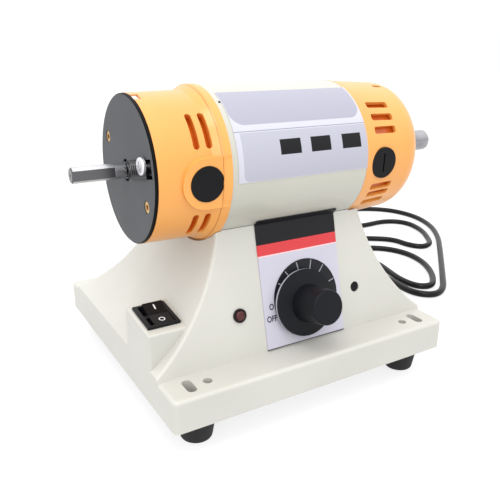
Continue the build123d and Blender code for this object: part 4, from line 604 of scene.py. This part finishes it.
def finish_piece(piece: bpy.types.Object, name: str, body: str, finish: Finish) -> bpy.types.Object:
    """Names a new piece, applies its place, dresses it and lets it ride on a body.

    Args:
        piece: The new mesh object.
        name: The piece's name.
        body: The body it moves with.
        finish: Its surface.

    Returns:
        The same object.
    """
    start_piece()
    piece.select_set(True)
    bpy.context.view_layer.objects.active = piece
    for modifier in list(piece.modifiers):
        bpy.ops.object.modifier_apply(modifier=modifier.name)
    bpy.ops.object.transform_apply(location=True, rotation=True, scale=True)
    bpy.ops.object.mode_set(mode="EDIT")
    bpy.ops.mesh.select_all(action="SELECT")
    bpy.ops.mesh.remove_doubles(threshold=WELD_REACH)
    bpy.ops.mesh.normals_make_consistent(inside=False)
    bpy.ops.object.mode_set(mode="OBJECT")
    piece.name = name
    piece.data.name = name
    piece.data.materials.clear()
    piece.data.materials.append(finish.material())
    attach(piece, body)
    LOG.info("piece %s rides on %s in %s", name, body, finish.name)
    return piece


def join_pieces(pieces: list[bpy.types.Object]) -> bpy.types.Object:
    """Joins several objects into the first.

    Args:
        pieces: The objects, each with its own mesh.

    Returns:
        The joined object.
    """
    start_piece()
    for piece in pieces:
        piece.select_set(True)
    bpy.context.view_layer.objects.active = pieces[0]
    bpy.ops.object.join()
    return bpy.context.object


def select_faces(piece: bpy.types.Object, facing: Facing) -> None:
    """Selects the faces of a piece that look along its own z axis, and opens it for editing.

    Args:
        piece: The object whose faces are chosen.
        facing: Whether only the top is chosen or both ends.
    """
    bpy.ops.object.mode_set(mode="EDIT")
    bpy.ops.mesh.select_all(action="DESELECT")
    bpy.ops.mesh.select_mode(type="FACE")
    bpy.ops.object.mode_set(mode="OBJECT")
    for polygon in piece.data.polygons:
        up = polygon.normal.z
        polygon.select = up > FACING_LIMIT or (facing is Facing.ENDS and up < -FACING_LIMIT)
    bpy.ops.object.mode_set(mode="EDIT")


def printed_bar(place: Vector, turn: Matrix, width: float, length: float,
                thickness: float) -> bpy.types.Object:
    """Makes a thin printed bar with softened edges.

    Args:
        place: Its middle in millimetres.
        turn: How it is turned from lying flat.
        width: Its size along its own x in millimetres.
        length: Its size along its own y in millimetres.
        thickness: How far it stands proud in millimetres.

    Returns:
        The bar, not yet dressed.
    """
    start_piece()
    bpy.ops.mesh.primitive_cube_add(size=1.0)
    bar = bpy.context.object
    bar.scale = (width * MM, length * MM, thickness * MM)
    bpy.ops.object.transform_apply(location=False, rotation=False, scale=True)
    select_faces(bar, Facing.TOP)
    bpy.ops.mesh.inset(thickness=thickness * MM * BAR_EDGE_SHARE, depth=0.0)
    bpy.ops.object.mode_set(mode="OBJECT")
    bar.matrix_world = Matrix.Translation(place * MM) @ turn
    return bar


def printed_ring(place: Vector, turn: Matrix, radius: float, line: float,
                 thickness: float) -> bpy.types.Object:
    """Makes a thin printed ring.

    Args:
        place: Its middle in millimetres.
        turn: How it is turned from lying flat.
        radius: Its outer radius in millimetres.
        line: The width of its line in millimetres.
        thickness: How far it stands proud in millimetres.

    Returns:
        The ring, not yet dressed.
    """
    start_piece()
    bpy.ops.mesh.primitive_cylinder_add(vertices=RING_SIDES, radius=radius * MM, depth=thickness * MM)
    ring = bpy.context.object
    select_faces(ring, Facing.ENDS)
    bpy.ops.mesh.inset(thickness=line * MM, depth=0.0)
    bpy.ops.mesh.bridge_edge_loops()
    bpy.ops.object.mode_set(mode="OBJECT")
    ring.matrix_world = Matrix.Translation(place * MM) @ turn
    return ring


@dataclass
class Studio:
    """Pale floor, soft studio light and the camera at the photograph's place.

    Angles are degrees. Lamps and the floor are in metres and watts.
    """

    camera_place: Triple = (-225.96, -381.49, 240.09)
    yaw: float = 31.13
    pitch: float = 19.48
    roll: float = 0.57
    lens: float = 43.19
    sensor: float = 36.0
    nearest: float = 0.01
    horizon: float = 1.0
    zenith: float = 2.0
    lamp_aim: Triple = (0.0, 0.0, 0.1)
    top_place: Triple = (-0.3, -0.35, 1.2)
    top_size: float = 0.5
    top_power: float = 3.6
    front_place: Triple = (-0.7, -1.2, 0.85)
    front_size: float = 0.9
    front_power: float = 5.6
    floor_size: float = 8.0
    floor_drop: float = 0.0002
    floor_colour: str = "7c7c7c"
    floor_glow: float = 0.78
    floor_roughness: float = 0.55
    floor_shine: float = 0.1

    def set_camera(self) -> None:
        """Places the camera as the photograph was taken."""
        yaw, pitch, roll = (math.radians(v) for v in (self.yaw, self.pitch, self.roll))
        ahead = Vector((math.sin(yaw) * math.cos(pitch), math.cos(yaw) * math.cos(pitch), -math.sin(pitch)))
        level = Vector((math.cos(yaw), -math.sin(yaw), 0.0))
        above = level.cross(ahead)
        right = math.cos(roll) * level + math.sin(roll) * above
        up = -math.sin(roll) * level + math.cos(roll) * above
        camera = bpy.data.objects.new("camera", bpy.data.cameras.new("camera"))
        camera.data.lens = self.lens
        camera.data.sensor_width = self.sensor
        camera.data.clip_start = self.nearest
        turn = Matrix((right, up, -ahead)).transposed().to_4x4()
        camera.matrix_world = Matrix.Translation(Vector(self.camera_place) * MM) @ turn
        bpy.context.scene.collection.objects.link(camera)
        bpy.context.scene.camera = camera

    def add_softbox(self, name: str, place: Triple, size: float, power: float) -> None:
        """Hangs one square softbox that faces the machine.

        Args:
            name: The lamp's name.
            place: Where it hangs in metres.
            size: Its side in metres.
            power: Its power in watts.
        """
        light = bpy.data.lights.new(name, "AREA")
        light.size = size
        light.energy = power
        lamp = bpy.data.objects.new(name, light)
        back = Vector(place) - Vector(self.lamp_aim)
        turn = back.to_track_quat("Z", "Y").to_matrix().to_4x4()
        lamp.matrix_world = Matrix.Translation(place) @ turn
        bpy.context.scene.collection.objects.link(lamp)

    def lay_floor(self) -> None:
        """Lays the pale floor, a sheet that gives a little light of its own."""
        start_piece()
        bpy.ops.mesh.primitive_plane_add(size=self.floor_size, location=(0.0, 0.0, -self.floor_drop))
        floor = bpy.context.object
        floor.name = "studio_floor"
        material = bpy.data.materials.new("studio_floor_paper")
        material.use_nodes = True
        shader = material.node_tree.nodes["Principled BSDF"]
        shader.inputs["Base Color"].default_value = linear(self.floor_colour)
        shader.inputs["Emission Color"].default_value = (1.0, 1.0, 1.0, 1.0)
        shader.inputs["Emission Strength"].default_value = self.floor_glow
        shader.inputs["Roughness"].default_value = self.floor_roughness
        shader.inputs["Specular IOR Level"].default_value = self.floor_shine
        floor.data.materials.append(material)

    def make(self) -> None:
        """Makes the camera, the lights, the floor and the white surroundings."""
        self.set_camera()
        scene = bpy.context.scene
        world = bpy.data.worlds.new("white_surroundings")
        world.use_nodes = True
        tree = world.node_tree
        direction = add_node(tree, "ShaderNodeTexCoord").outputs["Generated"]
        split = add_node(tree, "ShaderNodeSeparateXYZ", None, None, {0: direction})
        strength = add_node(tree, "ShaderNodeMapRange", None,
                            {"To Min": self.horizon, "To Max": self.zenith}, {"Value": split.outputs[2]})
        backdrop = tree.nodes["Background"]
        backdrop.inputs["Color"].default_value = (1.0, 1.0, 1.0, 1.0)
        tree.links.new(strength.outputs[0], backdrop.inputs["Strength"])
        scene.world = world
        scene.view_settings.view_transform = "Standard"
        self.add_softbox("top_softbox", self.top_place, self.top_size, self.top_power)
        self.add_softbox("front_softbox", self.front_place, self.front_size, self.front_power)
        self.lay_floor()


@dataclass
class MainsCord:
    """The cord on the floor behind the machine, from its relief to the plug."""

    diameter: float = 6.5
    lift: float = 0.05
    rise_height: float = 4.4
    plug_height: float = 7.2
    length: float = 1974.4
    curve_steps: int = 5
    section_steps: int = 5

    def route(self) -> list[Triple]:
        """Returns the cord's control points from the relief's tip to the plug."""
        lay = self.diameter / 2 + self.lift
        return [
            (60, 125.1, 30), (60, 139.1, 30), (61.5, 156, 25), (65, 175, 12), (73, 197, lay),
            (94, 224, lay), (134, 246, lay), (186, 262, lay), (242, 274, lay), (298, 280, lay),
            (352, 272, lay), (390, 244, lay), (399, 202, lay), (385, 158, lay), (356, 118, lay),
            (321, 83, lay), (287, 50, lay), (254, 18, lay), (230, -5, lay), (211, -12, lay),
            (197, 0, lay), (196, 21, lay), (201, 50, lay), (208, 80, lay), (192, 110, lay),
            (156, 128, lay), (116, 142, lay), (91, 170, lay), (100, 206, lay), (136, 226, lay),
            (180, 232, lay), (222, 226, lay), (262, 210, lay), (302, 200, lay), (344, 204, lay),
            (366, 184, lay), (358, 148, lay), (339, 119, lay), (325, 102, lay), (308, 98, lay),
            (298, 113, lay), (297, 137, lay), (276, 154, lay), (250, 168, lay), (222, 180, lay),
            (197, 174, lay), (192, 150, lay), (212, 136, lay), (238, 132, lay), (262, 120, lay),
            (275, 94, lay), (271, 64, lay), (257, 38, lay), (241, 19, lay), (225, 6, lay),
            (211, 13, lay), (209, 34, lay), (215, 58, lay), (222, 84, lay), (214, 114, self.rise_height),
            (197, 136, self.plug_height), (176, 147, self.plug_height),
        ]

    def make(self, nodes: dict[str, bpy.types.Object]) -> None:
        """Makes the cord as one smooth curve with a round section.

        Args:
            nodes: The machine's own pieces by name; not used.
        """
        start_piece()
        curve = bpy.data.curves.new("cord_line", "CURVE")
        curve.dimensions = "3D"
        spline = curve.splines.new("NURBS")
        points = self.route()
        spline.points.add(len(points) - 1)
        for point, place in zip(spline.points, points):
            point.co = (*(v * MM for v in place), 1.0)
        spline.order_u = 3
        spline.use_endpoint_u = True
        spline.resolution_u = self.curve_steps
        curve.bevel_depth = self.diameter / 2 * MM
        curve.bevel_resolution = self.section_steps
        curve.use_fill_caps = True
        curve.materials.append(CORD_SHEATH.material())
        cord = bpy.data.objects.new("mains_cord", curve)
        bpy.context.scene.collection.objects.link(cord)
        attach(cord, "machine")
        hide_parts("power_cord")
        LOG.info("piece mains_cord, %d points", len(points))


@dataclass
class SpeedPanel:
    """Printed marks of the speed dial: ticks on the disc, and a zero and OFF on the label."""

    disc_front: float = 1.4
    label_front: float = 0.8
    tick_angles: tuple[float, ...] = (149.0, 127.5, 103.0, 75.0, 50.0, 18.5)
    tick_outer: float = 25.4
    tick_length: float = 7.0
    tick_width: float = 0.75
    ink: float = 0.08
    word_size: float = 5.7
    word_narrowing: float = 0.8
    word_boldness: float = 0.17
    word_steps: int = 4
    words: tuple[tuple[str, float, float], ...] = (("O", -28.6, -1.9), ("OFF", -29.1, -10.0))

    def make_ticks(self) -> None:
        """Prints the grey ticks near the disc's rim, one bar for each angle."""
        bars = []
        for angle in self.tick_angles:
            turn = math.radians(angle)
            reach = self.tick_outer - self.tick_length / 2
            place = MACHINE.on_face(MACHINE.dial_x + reach * math.cos(turn),
                                    MACHINE.dial_up + reach * math.sin(turn), self.disc_front + self.ink / 2)
            spin = MACHINE.face_turn() @ Matrix.Rotation(turn - math.pi / 2, 4, "Z")
            bars.append(printed_bar(place, spin, self.tick_width, self.tick_length, self.ink))
        finish_piece(join_pieces(bars), "dial_ticks", "machine", TICK_INK)

    def make_words(self) -> None:
        """Prints the zero and the word OFF at the left of the dial."""
        printed = []
        for word, across, up in self.words:
            start_piece()
            bpy.ops.object.text_add()
            text = bpy.context.object
            text.data.body = word
            text.data.align_x = "CENTER"
            text.data.align_y = "CENTER"
            text.data.size = self.word_size * MM
            text.data.extrude = self.ink / 2 * MM
            text.data.offset = self.word_boldness * MM
            text.data.resolution_u = self.word_steps
            bpy.ops.object.convert(target="MESH")
            shape = bpy.context.object
            place = MACHINE.on_face(MACHINE.dial_x + across, MACHINE.dial_up + up,
                                    self.label_front + self.ink / 2)
            narrow = Matrix.Diagonal((self.word_narrowing, 1.0, 1.0, 1.0))
            shape.matrix_world = Matrix.Translation(place * MM) @ MACHINE.face_turn() @ narrow
            printed.append(shape)
        finish_piece(join_pieces(printed), "dial_words", "machine", DARK_INK)

    def make(self) -> None:
        """Makes all printed marks of the panel."""
        self.make_ticks()
        self.make_words()


@dataclass
class RockerMarks:
    """White marks moulded into the two halves of the rocker."""

    rocker_offset: float = 1.2
    end_height: float = 3.2
    middle_height: float = 1.6
    end_reach: float = 11.05
    tilt: float = 9.0
    ink: float = 0.08
    bar_length: float = 4.2
    bar_width: float = 0.9
    ring_radius: float = 2.1
    ring_line: float = 0.65
    mark_reach: float = 6.4

    def half_place(self, side: float) -> tuple[Vector, Matrix]:
        """Finds the middle of one half of the rocker's top.

        Args:
            side: 1 for the back half and -1 for the front half.

        Returns:
            The place in millimetres and the turn of that half.
        """
        slope = math.atan2(self.end_height - self.middle_height, self.end_reach)
        tilt = MACHINE.switch_tilt() + math.radians(self.tilt)
        height = self.middle_height + self.mark_reach * math.tan(slope) + self.ink / 2
        local = Vector((self.rocker_offset, side * self.mark_reach, height))
        place = Vector(MACHINE.switch_middle) + Matrix.Rotation(tilt, 3, "X") @ local
        return place, Matrix.Rotation(tilt + side * slope, 4, "X")

    def make(self) -> None:
        """Makes the bar on the back half and the ring on the front half."""
        place, turn = self.half_place(1.0)
        bar = printed_bar(place, turn, self.bar_width, self.bar_length, self.ink)
        finish_piece(bar, "rocker_on_mark", "switch_rocker", SWITCH_INK)
        place, turn = self.half_place(-1.0)
        ring = printed_ring(place, turn, self.ring_radius, self.ring_line, self.ink)
        finish_piece(ring, "rocker_off_mark", "switch_rocker", SWITCH_INK)


@dataclass
class MotorDetails:
    """The head of the motor tube's locating pin."""

    pin_x: float = -52.0
    pin_angle: float = 56.0
    pin_radius: float = 0.75
    pin_rise: float = 0.25
    pin_sides: int = 32
    pin_rim: float = 0.2
    pin_dish: float = 0.15
    pin_dish_depth: float = 0.1

    def make(self) -> None:
        """Makes the pin's head, with a dished middle."""
        start_piece()
        bpy.ops.mesh.primitive_cylinder_add(vertices=self.pin_sides, radius=self.pin_radius * MM,
                                            depth=2 * self.pin_rise * MM)
        pin = bpy.context.object
        select_faces(pin, Facing.TOP)
        bpy.ops.mesh.inset(thickness=self.pin_rim * MM, depth=0.0)
        bpy.ops.mesh.inset(thickness=self.pin_dish * MM, depth=-self.pin_dish_depth * MM)
        bpy.ops.object.mode_set(mode="OBJECT")
        turn = Matrix.Rotation(math.radians(90 - self.pin_angle), 4, "X")
        place = MACHINE.on_motor(self.pin_x, self.pin_angle, MACHINE.tube_radius)
        pin.matrix_world = Matrix.Translation(place * MM) @ turn
        finish_piece(pin, "tube_pin_head", "machine", LAMP_RIM)


@dataclass
class Dresser:
    """Gives every piece of the machine's own model its finish."""

    nodes: dict[str, bpy.types.Object] = field(default_factory=dict)

    def dress(self) -> None:
        """Puts each finish on its piece."""
        for name, finish in NODE_FINISHES.items():
            piece = self.nodes[name]
            for place in piece.material_slots:
                place.link = "OBJECT"
                place.material = finish.material()
            LOG.info("piece %s in %s", name, finish.name)


def main() -> None:
    """Loads the machine, dresses it, adds its new pieces and lights it."""
    logging.basicConfig(level=logging.INFO, format="%(message)s")
    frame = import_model()
    Studio().make()
    MainsCord().make(frame["nodes"])
    Dresser(frame["nodes"]).dress()
    SpeedPanel().make()
    RockerMarks().make()
    MotorDetails().make()


if __name__ == "__main__":
    main()
